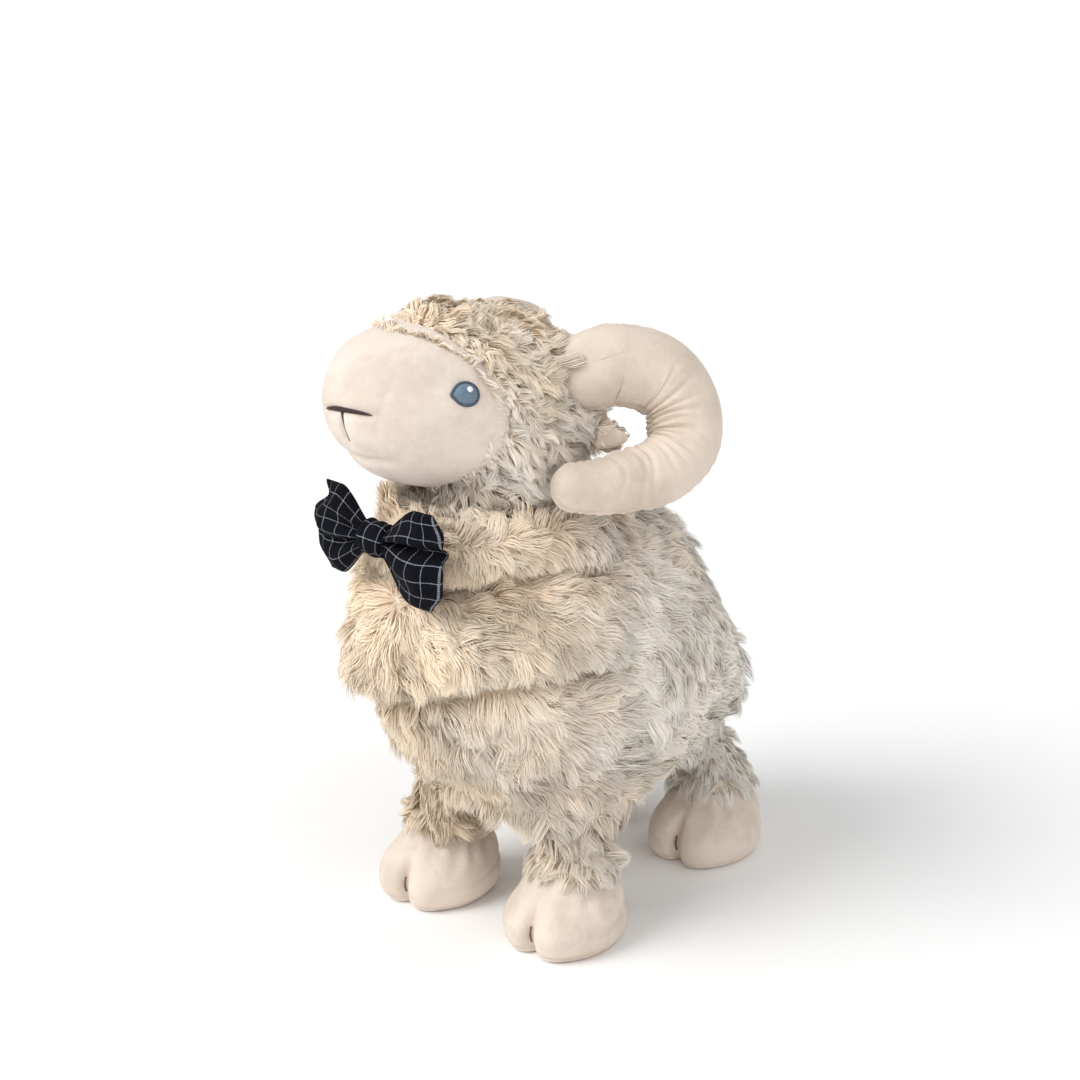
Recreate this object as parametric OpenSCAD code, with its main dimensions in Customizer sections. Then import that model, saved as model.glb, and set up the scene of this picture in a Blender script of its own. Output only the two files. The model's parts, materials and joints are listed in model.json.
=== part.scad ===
// Standing plush ram: a stuffed soft toy with long wool pile, a smooth plush face, curled horns and a bow tie.
// Millimetres. The floor is z = 0, the ram faces -Y when its head is straight, and its left side is +X.
// The sub-parts are drawn about the middle of the four hooves. The nodes move them by stance, so that the
// origin lies on the floor under the middle of the whole toy, from bow to tail and from horn to horn.
// The head is built about the centre of its round back, which is also the centre of the neck's ball joint.

/* [Stance] */
// Distance between the centres of the left and right hooves
foot_spread = 84; // [76:1:100]
// Distance between the centres of the front and rear hooves
foot_wheelbase = 124; // [100:1:130]
// Width of a hoof
hoof_w = 58; // [50:1:66]
// Length of a hoof from toes to heel
hoof_l = 66; // [58:1:76]
// Height of a hoof
hoof_h = 32; // [26:1:40]
// Depth of the cleft between the toes, as a share of the hoof's half length
cleft = 0.17; // [0.1:0.01:0.24]
// Diameter of a leg over its wool
leg_d = 52; // [44:1:56]
// Distance of a leg's middle behind its hoof's middle
leg_setback = 6; // [2:0.5:8]
// Thickness of a sole
sole_t = 2; // [1.5:0.25:3]

/* [Body] */
// Height of the belly above the floor
belly_z = 62; // [54:1:72]
// Greatest width of the body over the wool
body_w = 176; // [150:1:190]
// Reach of the chest ahead of the origin
chest_y = 142; // [124:1:150]
// Reach of the rump behind the origin
rump_y = 98; // [78:1:106]
// Depth of the long body pile with its backing
pile = 12; // [8:0.5:15]
// Depth of the leg pile with its backing
leg_pile = 8; // [6:0.5:11]
// Thickness of the flat belly panel
belly_t = 3; // [2:0.5:4]
// Length of the tail
tail_l = 34; // [26:1:44]

/* [Neck] */
// Diameter of the round back of the head over the wool
head_d = 106; // [100:1:110]
// Height of the head's centre
head_z = 266; // [262:1:290]
// Distance of the head's centre ahead of the origin
head_fwd = 70; // [62:1:78]
// Thickness of the wadding ring between head and body
neck_t = 4; // [3:0.5:6]
// Reach of the neck's rim past the round back of the head
neck_lip = 0; // [-2:0.5:4]
// Turn of the standing head to the ram's right
head_turn = 14; // [0:1:25]
// Tilt of the standing head, nose up
head_tilt = 9; // [4:0.5:12]

/* [Head] */
// Reach of the nose ahead of the head's centre
nose_reach = 79; // [70:1:86]
// Width of the face where it meets the wool
face_w = 96; // [88:1:100]
// Height of the face
face_h = 80; // [72:1:86]
// Depth of the curly head pile with its backing
head_pile = 9; // [7:0.5:11]
// Thickness of the smooth plush
plush_t = 2; // [1.5:0.25:2.5]
// Width of an embroidered eye
eye_w = 14; // [11:0.5:17]
// Width of the stitched nose line
nose_w = 34; // [26:1:42]
// Length of the stitched line under the nose
mouth_l = 17; // [12:1:22]
// Length of an ear
ear_l = 22; // [16:1:26]

/* [Horns] */
// Radius of the curl along the middle of the horn
curl_r = 28; // [27:0.5:31]
// Diameter of the horn at its root
horn_root_d = 37; // [32:0.5:38]
// Diameter of the horn near its tip
horn_tip_d = 23; // [19:0.5:25]
// Outward splay of a horn as it goes back
horn_splay = 14; // [8:1:18]
// Outward lean of the bottom of a horn
horn_lean = 30; // [26:1:34]

/* [Bow tie] */
// Width of the bow across both loops
bow_w = 80; // [66:1:90]
// Height of the loops at their outer ends
bow_h = 42; // [34:1:46]
// Depth of a loop, front to back
bow_d = 15; // [11:0.5:18]
// Width of the knot
knot_w = 15; // [12:0.5:18]
// Length of the tack thread between the neck and the knot
tack_l = 3; // [2:0.5:5]

/* [Hidden] */
$fn = 48;

stance = [-6, 16.7, 0];  // place of the middle of the four hooves

gap = 0.4;       // running gap between soft pieces that move
seat = 0.2;      // gap between soft pieces that stay together
facet = 0.6;     // room for the flat facets of the hollow that holds the neck
thread_r = 0.7;  // radius of a stitched thread

wool_col = "tan";
plush_col = "antiquewhite";
wadding_col = "white";
thread_col = "saddlebrown";
cloth_col = "midnightblue";

// the neck's ball joint: head, wadding ring, hollow in the body
ball_r = head_d / 2;
ring_r = ball_r + gap;
bowl_r = ring_r + neck_t + gap;
rim_angle = 50;
head_p = [0, -head_fwd, head_z];
rim_z = head_z - bowl_r * cos(rim_angle);
rim_r = ball_r + neck_lip;

// ---------- vectors and curves ----------
function unit(v) = v / norm(v);
function turn_x(a, p) = [p[0], p[1] * cos(a) - p[2] * sin(a), p[1] * sin(a) + p[2] * cos(a)];
function turn_y(a, p) = [p[0] * cos(a) + p[2] * sin(a), p[1], p[2] * cos(a) - p[0] * sin(a)];
function turn_z(a, p) = [p[0] * cos(a) - p[1] * sin(a), p[0] * sin(a) + p[1] * cos(a), p[2]];
function mix(a, b, t) = a + (b - a) * t;

// smooth curve through a list of stations, sampled at n + 1 places
function spline_at(keys, u) = let (
    n = len(keys) - 1, i = max(0, min(floor(u), n - 1)), t = u - i,
    a = keys[max(i - 1, 0)], b = keys[i], c = keys[i + 1], d = keys[min(i + 2, n)])
    (2 * b + (c - a) * t + (2 * a - 5 * b + 4 * c - d) * t * t + (3 * b - a - 3 * c + d) * t * t * t) / 2;
function resample(keys, n) = [for (i = [0:n]) spline_at(keys, i * (len(keys) - 1) / n)];

// two triangles for each four-cornered face
function halves(quads) = [for (q = quads) each [[q[0], q[1], q[2]], [q[0], q[2], q[3]]]];

// skin between an outer and an inner grid of points; a wrapped grid closes on itself
module skin(outer, inner, wrap = false) {
    rows = len(outer);
    cols = len(outer[0]);
    m = rows * cols;
    polyhedron(concat([for (row = outer) each row], [for (row = inner) each row]), halves([
        for (i = [0:rows - 2]) for (j = [0:wrap ? cols - 1 : cols - 2])
            let (a = i * cols + j, b = i * cols + (j + 1) % cols)
            each [[a, b, b + cols, a + cols], [m + b, m + a, m + a + cols, m + b + cols]],
        for (j = [0:wrap ? cols - 1 : cols - 2])
            let (k = (j + 1) % cols, last = (rows - 1) * cols)
            each [[m + j, m + k, k, j], [last + j, last + k, m + last + k, m + last + j]],
        if (!wrap) for (i = [0:rows - 2])
            let (a = i * cols, b = a + cols - 1)
            each [[a, a + cols, m + a + cols, m + a], [m + b, m + b + cols, b + cols, b]]]));
}

// solid through a stack of closed rings, with a fan of triangles over each end
module loft(rings) {
    rows = len(rings);
    cols = len(rings[0]);
    ends = [for (ring = [rings[0], rings[rows - 1]])
        [for (s = [0:2]) [for (p = ring) p[s]] * [for (p = ring) 1 / cols]]];
    polyhedron(concat([for (row = rings) each row], ends), concat(
        halves([for (i = [0:rows - 2]) for (j = [0:cols - 1])
            let (a = i * cols + j, b = i * cols + (j + 1) % cols) [a, b, b + cols, a + cols]]),
        [for (j = [0:cols - 1]) let (k = (j + 1) % cols, last = (rows - 1) * cols)
            each [[k, j, rows * cols], [last + j, last + k, rows * cols + 1]]]));
}

// thread swept along a list of points
thread_sides = 6;
module thread(points) {
    n = len(points) - 1;
    loft([for (i = [0:n]) let (
        t = unit(points[min(i + 1, n)] - points[max(i - 1, 0)]),
        side = unit(cross(t, [0.1, -1, 0.2])), up = cross(side, t))
        [for (j = [0:thread_sides - 1]) let (a = 360 * j / thread_sides)
            points[i] + thread_r * (side * cos(a) + up * sin(a))]]);
}

module mirrored(side) mirror([side < 0 ? 1 : 0, 0, 0]) children();
module at_foot(x, y) translate([x * foot_spread / 2, y * foot_wheelbase / 2, 0]) children();
module on_head() translate(head_p) rotate([0, 0, -head_turn]) rotate([-head_tilt, 0, 0]) children();

// ---------- body ----------
// body stations from the belly up: [height, middle y, half width, reach ahead, reach behind]
neck_z = rim_z - (belly_z + belly_t);
function body_station(share, mid, narrow, chest_in, rump_in) = [
    belly_z + belly_t + neck_z * share, mid, body_w / 2 - narrow, chest_y - chest_in + mid, rump_y - rump_in - mid];
body_keys = [
    body_station(0, 0, 21, 48, 8),
    body_station(0.1, -2, 9, 37, 1),
    body_station(0.26, -5, 2, 24, 0),
    body_station(0.44, -12, 0, 8, 12),
    body_station(0.63, -25, 3, 0, 34),
    body_station(0.8, -42, 14, 9, 44),
    [mix(belly_z + belly_t, rim_z, 0.93), 5 - head_fwd, rim_r + 6, rim_r + 3, rim_r + 11],
    [rim_z, -head_fwd, rim_r, rim_r, rim_r]];
body_rows = 16;
facet_angle = 15;
function body_ring(k, inset, from, to) = [for (a = [from:-facet_angle:to])
    [(k[2] - inset) * cos(a), k[1] + ((a < 0 ? k[3] : k[4]) - inset) * sin(a), k[0]]];
// moves a point that lies inside the neck's hollow out to its wall at the same height
function out_of_bowl(p, r) = let (
    d = p - head_p, flat = norm([d[0], d[1]]), s = r * r - d[2] * d[2])
    s <= flat * flat ? p : [head_p[0] + d[0] * sqrt(s) / flat, head_p[1] + d[1] * sqrt(s) / flat, p[2]];

// the body's foremost and rearmost places at a height
function front_at(z) = lookup(z, [for (k = resample(body_keys, body_rows)) [k[0], k[1] - k[3]]]);
function rear_at(z) = lookup(z, [for (k = resample(body_keys, body_rows)) [k[0], k[1] + k[4]]]);

module body_wool(side) color(wool_col) mirrored(side)
    skin([for (k = resample(body_keys, body_rows)) body_ring(k, 0, 90, -90)],
         [for (k = resample(body_keys, body_rows))
             [for (p = body_ring(k, pile, 90, -90)) out_of_bowl(p, bowl_r + facet)]]);

module belly_panel() color(wool_col) translate([0, 0, belly_z]) linear_extrude(belly_t - seat)
    polygon([for (p = body_ring(body_keys[0], 3, 180, facet_angle - 180)) [p[0], p[1]]]);

module body_wadding() color(wadding_col) {
    rows = resample(body_keys, body_rows);
    rings = [for (k = rows) if (k[0] < rim_z - pile) body_ring(k, pile + 2 * seat, 180, facet_angle - 180)];
    edge_angle = acos((head_z - rings[len(rings) - 1][0][2]) / (bowl_r + facet));
    bowl = [for (i = [0:5]) let (b = edge_angle * (1 - i / 5.2))
        [for (a = [180:-facet_angle:facet_angle - 180])
            head_p + (bowl_r + facet) * [sin(b) * cos(a), sin(b) * sin(a), -cos(b)]]];
    loft(concat(rings, bowl));
}

tail_r = 10;
tail_z = belly_z + 62;
tail_y = max([for (s = [-0.9:0.1:0.9]) rear_at(tail_z + s * tail_l / 2) + tail_r * sqrt(1 - s * s)]) + 2 * gap;
module tail_wool() color(wool_col) translate([0, tail_y, tail_z])
    scale([1, 1, tail_l / 2 / tail_r]) sphere(tail_r);

// ---------- feet ----------
// hoof stations from the floor up: [height, scale, shift back]
hoof_keys = [[sole_t / 2, 0.88, 0], [hoof_h * 0.22, 1, 0], [hoof_h * 0.52, 1, 0],
    [hoof_h * 0.8, 0.86, leg_setback / 2], [hoof_h, leg_d / hoof_w - 0.25, leg_setback]];
hoof_rows = 6;
hoof_cols = 30;
function toe_notch(a) = 1 - cleft * exp(-pow((a + 90) / 13, 2));
function hoof_ring(k, inset) = [for (i = [0:hoof_cols - 1]) let (a = 90 - 360 * i / hoof_cols)
    [(hoof_w / 2 * k[1] - inset) * cos(a) * toe_notch(a), k[2] + (hoof_l / 2 * k[1] - inset) * sin(a) * toe_notch(a), k[0]]];

module hoof_cover(x, y) color(plush_col) at_foot(x, y)
    skin([for (k = resample(hoof_keys, hoof_rows)) hoof_ring(k, 0)],
         [for (k = resample(hoof_keys, hoof_rows)) hoof_ring(k, plush_t)], wrap = true);
module sole(x, y) color(plush_col) at_foot(x, y) linear_extrude(sole_t)
    polygon([for (p = hoof_ring([0, 0.88, 0], plush_t + 1)) [p[0], p[1]]]);
module toe_stitch(x, y) color(thread_col) at_foot(x, y)
    translate([0, -hoof_l / 2 * (1 - cleft) - thread_r - seat - 0.6, hoof_h * 0.26])
    cylinder(r = thread_r, h = hoof_h * 0.26);
leg_in_r = leg_d / 2 - leg_pile;
module leg_wool(x, y) color(wool_col) at_foot(x, y) translate([0, leg_setback, hoof_h + seat])
    difference() {
        cylinder(d = leg_d, h = belly_z - hoof_h - 2 * seat);
        translate([0, 0, -1]) cylinder(r = leg_in_r, h = belly_z);
    }
wadding_foot_r = min(hoof_w * 0.88 / 2 - plush_t, hoof_l * 0.88 / 2 - plush_t - leg_setback) - 2;
wadding_ankle_r = hoof_w / 2 * hoof_keys[4][1] - plush_t - 1;
module leg_wadding(x, y) color(wadding_col) at_foot(x, y) translate([0, leg_setback, 0]) rotate_extrude()
    polygon([[0, sole_t + seat], [wadding_foot_r, sole_t + seat], [wadding_foot_r, hoof_h * 0.6],
             [min(wadding_ankle_r, leg_in_r - seat), hoof_h - 1],
             [min(wadding_ankle_r, leg_in_r - seat), belly_z - seat], [0, belly_z - seat]]);

// ---------- neck ----------
module neck_wadding() color(wadding_col) translate(head_p) rotate_extrude() intersection() {
    difference() {
        circle(ring_r + neck_t);
        circle(ring_r);
    }
    polygon([[0, 0], [0, -2 * ball_r], [2 * ball_r * sin(rim_angle - 2), -2 * ball_r * cos(rim_angle - 2)]]);
}

// ---------- head ----------
// the head tapers from its widest ring to the nose by one rule, for the face and the wool alike
taper = 3.1;
face_mid = 4;
function taper_at(ahead, reach) = ahead <= 0 ? 1 : pow(1 - pow(min(ahead / reach, 1), taper), 0.5);
// how far ahead of the centre the wool's edge runs: highest over the brow
function wool_edge(a) = 20 + 27 * pow(max(sin(a), 0), 2) + 12 * pow(min(sin(a), 0), 2);
// the underside keeps to the round of the ball, which turns in the neck
function within_ball(p, r) = let (d = norm(p), low = max(0, min(1, (-p[2] / d - 0.15) * 4)))
    p * mix(1, min(1, r / d), low);
function wool_point(ahead, a, inset) = let (r = ball_r - inset,
    s = ahead < 0 ? sqrt(max(r * r - ahead * ahead, 0.2)) : r * taper_at(ahead, nose_reach - inset))
    within_ball([s * cos(a), -ahead, s * sin(a)], r);
function face_point(ahead, a, inset) = let (s = max(taper_at(ahead, nose_reach - inset), 0.01))
    [(face_w / 2 - inset) * s * cos(a), -ahead, face_mid + (face_h / 2 - inset) * s * sin(a)];
head_rows = 12;
function wool_grid(inset, a0, a1, n) = [for (i = [0:head_rows])
    [for (j = [0:n]) let (a = mix(a0, a1, j / n), back = ball_r - inset)
        wool_point(-back + (back + wool_edge(a)) * (1 - cos(90 * i / head_rows)), a, inset)]];
function face_grid(inset, a0, a1, n) = [for (i = [0:head_rows])
    [for (j = [0:n]) let (a = mix(a0, a1, j / n))
        face_point(mix(wool_edge(a) + 4 * seat, nose_reach - inset, sin(90 * i / head_rows)), a, inset)]];
// the face's surface over a place seen from the front
function face_over(x, z, out) = let (
    q = 1 - pow(x / (face_w / 2), 2) - pow((z - face_mid) / (face_h / 2), 2),
    p = [x, -nose_reach * pow(q, 1 / taper), z])
    p + out * unit([2 * x / pow(face_w / 2, 2), -taper * pow(-p[1] / nose_reach, taper - 1) / nose_reach,
                    2 * (z - face_mid) / pow(face_h / 2, 2)]);

module head_wool(side) color(wool_col) on_head() mirrored(side)
    skin(wool_grid(0, 90, -90, 10), wool_grid(head_pile, 90, -90, 10));
chin_a = 22;
module face_panel() color(plush_col) on_head()
    skin(face_grid(0, 180 + chin_a, -chin_a, 16), face_grid(plush_t, 180 + chin_a, -chin_a, 16));
module chin_panel() color(plush_col) on_head()
    skin(face_grid(0, -chin_a, chin_a - 180, 10), face_grid(plush_t, -chin_a, chin_a - 180, 10));
module head_wadding() color(wadding_col) on_head() {
    r = ball_r - head_pile - 5 * seat;
    reach = nose_reach - head_pile - 2;
    loft([for (i = [0:14]) let (ahead = -r * 0.98 + (reach * 0.97 + r * 0.98) * i / 14,
        s = ahead < 0 ? sqrt(r * r - ahead * ahead)
            : mix(r, face_h / 2 - face_mid - plush_t - 1, min(ahead / wool_edge(0), 1)) * taper_at(ahead, reach))
        [for (j = [0:19]) [s * cos(-18 * j), -ahead, s * sin(-18 * j)]]]);
}

eye_ahead = [face_w / 2 - 5, face_mid + 11];  // sideways and up from the head's centre
eye_t = 0.8;
eye_c = face_over(eye_ahead[0], eye_ahead[1], eye_t / 2 + 0.9);
eye_n = unit(face_over(eye_ahead[0], eye_ahead[1], 1) - face_over(eye_ahead[0], eye_ahead[1], 0));
module on_eye(side) on_head() mirrored(side) translate(eye_c)
    rotate([0, acos(eye_n[2]), atan2(eye_n[1], eye_n[0])]) children();
module eye(side) color("slategray") on_eye(side) cylinder(d = eye_w, h = eye_t, center = true);
module eye_glint(side) color("white") on_eye(side)
    translate([-eye_w * 0.17, side * eye_w * 0.12, eye_t / 2 + 0.1]) cylinder(d = eye_w * 0.24, h = 0.4);

nose_z = 3;
module nose_stitch() color(thread_col) on_head()
    thread([for (i = [-6:6]) let (x = nose_w / 2 * i / 6) face_over(x, nose_z - x * x / 150, thread_r + seat)]);
module mouth_stitch() color(thread_col) on_head()
    thread([for (i = [0:6]) face_over(0, nose_z - 2.2 * thread_r - mouth_l * i / 6, thread_r + seat)]);

// middle of a horn's curl, and the height of its root's middle
horn_at = [ball_r + 6, ball_r - 10, 6];
horn_up = horn_at[2] + curl_r * cos(horn_lean);

// an ear is a flat leaf of wool with a smooth lining on its front, set on the round of the head below the horn
ear_angle = 28;
ear_h = 16;
ear_t = 7;
ear_lining_t = 1;
ear_up = round(horn_up - (horn_root_d + ear_h) / 2) - 6;
module on_ear(side) on_head() mirrored(side)
    rotate([0, 0, ear_angle]) translate([ball_r + gap, 0, ear_up]) rotate([0, 0, 36]) children();
function ear_ring(x, share, t, front) = [for (j = [0:15]) let (a = 22.5 * j)
    [x, front + t / 2 * sin(a), ear_h / 2 * share * cos(a)]];
module ear_wool(side) color(wool_col) on_ear(side)
    loft([for (k = resample([[1.9, 0.7], [ear_l * 0.35, 1], [ear_l * 0.75, 0.8], [ear_l, 0.25]], 6))
        ear_ring(k[0], k[1], ear_t * k[1], 0)]);
module ear_lining(side) color(plush_col) on_ear(side)
    loft([for (k = resample([[5, 0.4], [ear_l * 0.4, 0.72], [ear_l * 0.7, 0.55], [ear_l * 0.9, 0.2]], 5))
        ear_ring(k[0], k[1], ear_lining_t, -ear_t / 2 - ear_lining_t / 2 - seat)]);

// ---------- horns ----------
// the horn's stations in its own plane: [backward, up, radius]
horn_keys = [
    [0, curl_r, horn_root_d / 2], horn_station(42, 0.16), horn_station(0, 0.42), horn_station(-42, 0.6),
    horn_station(-82, 0.75),
    [-curl_r * 0.72, -curl_r * 0.96, horn_tip_d / 2 + 0.5], [-curl_r * 1.4, -curl_r * 0.83, horn_tip_d / 2 - 2],
    [-curl_r * 1.4 - 5.5, -curl_r * 0.8, 3]];
function horn_station(a, taper) =
    [curl_r * cos(a), curl_r * sin(a), mix(horn_root_d, horn_tip_d, taper) / 2];
root_rows = 4;
curl_rows = 16;
function horn_to_head(p) = horn_at + turn_x(head_tilt, turn_y(-horn_lean, turn_z(-horn_splay, p)));
// where a straight line back along the root leaves the round of the head
function root_start(x, up, clear) = let (
    p = horn_to_head([x, 0, up]), d = horn_to_head([x, 1, up]) - p, b = p * d,
    c = p * p - pow(ball_r + clear, 2)) min(max(-b + sqrt(max(b * b - c, 0)), -0.9 * curl_r), -1);
function horn_ring(k, before, after, inset, a0, a1, n) = let (
    t = unit([after[0] - before[0], after[1] - before[1]]), r = max(k[2] - inset, 0.5))
    [for (j = [0:n]) let (a = mix(a0, a1, j / n))
        [r * sin(a), k[0] - r * cos(a) * t[1], k[1] + r * cos(a) * t[0]]];
function horn_grid(inset, a0, a1, n, clear = gap) = let (ks = resample(horn_keys, curl_rows),
    first = horn_ring(ks[0], [-1, 0], [0, 0], inset, a0, a1, n))
    [for (i = [0:root_rows - 1]) [for (p = first)
        horn_to_head([p[0], mix(root_start(p[0], p[2], clear), p[1], i / root_rows), p[2]])],
     for (i = [0:curl_rows]) [for (p = horn_ring(ks[i], i == 0 ? ks[0] - [1, 0, 0] : ks[i - 1],
        i == 0 ? ks[0] : ks[min(i + 1, curl_rows)], inset, a0, a1, n)) horn_to_head(p)]];
module horn_panel(side, start) color(plush_col) on_head() mirrored(side)
    skin(horn_grid(0, start + 180, start, 8), horn_grid(plush_t, start + 180, start, 8));
module horn_wadding(side) color(wadding_col) on_head() mirrored(side)
    loft([for (ring = horn_grid(plush_t + seat, 360 * 15 / 16, 0, 15, gap + 4)) ring]);

// ---------- bow tie ----------
bow_side = -8;
bow_turn = -4;
bow_z = round(rim_z) - 11;
bow_tip = 4;      // lean of the loops, the left one lower
knot_y = min([for (s = [-6:2:6]) front_at(bow_z + s)]) - tack_l - bow_d / 2;
tack_bury = 2.5;  // the thread reaches past the front of the chest, which falls away beside its middle
module on_bow() translate([bow_side, knot_y, bow_z]) rotate([0, bow_tip, bow_turn]) children();
// a loop's stations outward from the knot: [distance, half height, half depth, forward fold]
loop_keys = [[knot_w / 2 + seat, 6.5, 4, 0], [bow_w * 0.2, bow_h * 0.33, bow_d * 0.42, 0.8],
    [bow_w * 0.32, bow_h * 0.45, bow_d * 0.5, 1.2], [bow_w * 0.43, bow_h * 0.5, bow_d * 0.42, 0.8],
    [bow_w * 0.5, bow_h * 0.47, bow_d * 0.2, 0.5]];
module bow_loop(side) color(cloth_col) on_bow() mirrored(side)
    loft([for (k = resample(loop_keys, 8)) [for (j = [0:19]) let (a = -18 * j)
        [k[0], k[3] * sin(a) * 0.5 + k[2] * cos(a) * (1 - 0.55 * exp(-pow(sin(a) / 0.3, 2))), k[1] * sin(a)]]]);
module bow_knot() color(cloth_col) on_bow()
    loft([for (k = resample([[-knot_w / 2, 6.5, 5], [0, 8.5, bow_d / 2 - 0.4], [knot_w / 2, 6.5, 5]], 6))
        [for (j = [0:15]) [k[0], k[2] * cos(-22.5 * j), k[1] * sin(-22.5 * j)]]]);
module bow_tack_thread() color(cloth_col) translate([bow_side, knot_y + bow_d / 2 + 0.1, bow_z]) rotate([-90, 0, 0])
    cylinder(r = 1, h = tack_l + tack_bury);

translate(stance) body_wool(1);  // body_wool_left
translate(stance) body_wool(-1);  // body_wool_right
translate(stance) belly_panel();
translate(stance) body_wadding();
translate(stance) tail_wool();
translate(stance) leg_wool(1, -1);  // leg_wool_front_left
translate(stance) leg_wool(-1, -1);  // leg_wool_front_right
translate(stance) leg_wool(1, 1);  // leg_wool_rear_left
translate(stance) leg_wool(-1, 1);  // leg_wool_rear_right
translate(stance) hoof_cover(1, -1);  // hoof_cover_front_left
translate(stance) hoof_cover(-1, -1);  // hoof_cover_front_right
translate(stance) hoof_cover(1, 1);  // hoof_cover_rear_left
translate(stance) hoof_cover(-1, 1);  // hoof_cover_rear_right
translate(stance) sole(1, -1);  // sole_front_left
translate(stance) sole(-1, -1);  // sole_front_right
translate(stance) sole(1, 1);  // sole_rear_left
translate(stance) sole(-1, 1);  // sole_rear_right
translate(stance) leg_wadding(1, -1);  // leg_wadding_front_left
translate(stance) leg_wadding(-1, -1);  // leg_wadding_front_right
translate(stance) leg_wadding(1, 1);  // leg_wadding_rear_left
translate(stance) leg_wadding(-1, 1);  // leg_wadding_rear_right
translate(stance) toe_stitch(1, -1);  // toe_stitch_front_left
translate(stance) toe_stitch(-1, -1);  // toe_stitch_front_right
translate(stance) toe_stitch(1, 1);  // toe_stitch_rear_left
translate(stance) toe_stitch(-1, 1);  // toe_stitch_rear_right
translate(stance) neck_wadding();
translate(stance) head_wool(1);  // head_wool_left
translate(stance) head_wool(-1);  // head_wool_right
translate(stance) head_wadding();
translate(stance) face_panel();
translate(stance) chin_panel();
translate(stance) eye(1);  // eye_left
translate(stance) eye(-1);  // eye_right
translate(stance) eye_glint(1);  // eye_glint_left
translate(stance) eye_glint(-1);  // eye_glint_right
translate(stance) nose_stitch();
translate(stance) mouth_stitch();
translate(stance) ear_wool(1);  // ear_wool_left
translate(stance) ear_wool(-1);  // ear_wool_right
translate(stance) ear_lining(1);  // ear_lining_left
translate(stance) ear_lining(-1);  // ear_lining_right
translate(stance) horn_panel(1, 0);  // horn_outer_left
translate(stance) horn_panel(-1, 0);  // horn_outer_right
translate(stance) horn_panel(1, 180);  // horn_inner_left
translate(stance) horn_panel(-1, 180);  // horn_inner_right
translate(stance) horn_wadding(1);  // horn_wadding_left
translate(stance) horn_wadding(-1);  // horn_wadding_right
translate(stance) bow_loop(1);  // bow_loop_left
translate(stance) bow_loop(-1);  // bow_loop_right
translate(stance) bow_knot();
translate(stance) bow_tack_thread();
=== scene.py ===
"""Plush ram toy: long wool pile, a smooth plush face, horns and hooves, and a cloth bow tie, round its frame.

Lengths are metres in the settings and the frame, and millimetres in the sewing pattern's own functions.
"""

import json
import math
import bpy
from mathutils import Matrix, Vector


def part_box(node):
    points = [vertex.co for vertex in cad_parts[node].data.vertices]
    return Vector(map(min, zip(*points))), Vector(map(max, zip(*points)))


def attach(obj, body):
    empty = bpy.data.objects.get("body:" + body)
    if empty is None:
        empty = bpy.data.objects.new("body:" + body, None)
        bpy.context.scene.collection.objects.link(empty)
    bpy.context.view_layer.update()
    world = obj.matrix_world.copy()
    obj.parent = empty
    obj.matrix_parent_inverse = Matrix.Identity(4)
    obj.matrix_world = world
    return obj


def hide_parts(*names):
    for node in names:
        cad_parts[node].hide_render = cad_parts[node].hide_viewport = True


bl_info = {
    "name": "Plush Ram Toy",
    "version": (1, 0, 0),
    "blender": (4, 5, 0),
    "location": "View3D > Sidebar > Plush Ram",
    "description": "Builds a stuffed plush ram with wool pile, curled horns and a bow tie",
    "category": "Object",
}

import bmesh
import bpy
import numpy as np
from mathutils import Quaternion, Vector
from mathutils.kdtree import KDTree

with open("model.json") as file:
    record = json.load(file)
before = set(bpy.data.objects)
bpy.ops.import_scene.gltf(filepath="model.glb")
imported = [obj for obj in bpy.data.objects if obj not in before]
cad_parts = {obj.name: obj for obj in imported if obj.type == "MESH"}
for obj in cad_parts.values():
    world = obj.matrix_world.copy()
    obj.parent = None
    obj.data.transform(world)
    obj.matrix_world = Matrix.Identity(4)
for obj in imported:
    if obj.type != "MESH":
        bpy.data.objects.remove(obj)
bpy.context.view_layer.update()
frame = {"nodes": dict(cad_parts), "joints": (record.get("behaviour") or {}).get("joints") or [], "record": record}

MM = 0.001
joints = {j["name"]: j for j in frame["joints"]}
mounts = {m["name"]: np.array(m["pos_m"]) for m in frame["record"]["mounts"]}
CORNERS = ("front_left", "front_right", "rear_left", "rear_right")
SIDES = {"left": 1, "right": -1}
NODES = frame["nodes"]

# the head's own axes: sideways to the ram's left, back, and up, about the middle of its round back
head_pivot = np.array(joints["head_turn"]["pos_m"])
head_up = np.array(joints["ear_left_flop"]["axis"])
head_side = np.array(joints["head_nod"]["axis"])
head_axes = np.array([head_side, np.cross(head_up, head_side), head_up])
stance = sum(mounts.values()) / len(mounts)
bow_pivot = np.array(joints["bow_swivel"]["pos_m"])


# ---------------------------------------------------------------- settings


def length(name, description, default):
    return bpy.props.FloatProperty(
        name=name, description=description, default=default, unit="LENGTH", precision=4)


def count(name, description, default):
    return bpy.props.IntProperty(name=name, description=description, default=default)


def colour(name, description, default):
    return bpy.props.FloatVectorProperty(
        name=name, description=description, default=default, subtype="COLOR", size=3, min=0, max=1)


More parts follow.
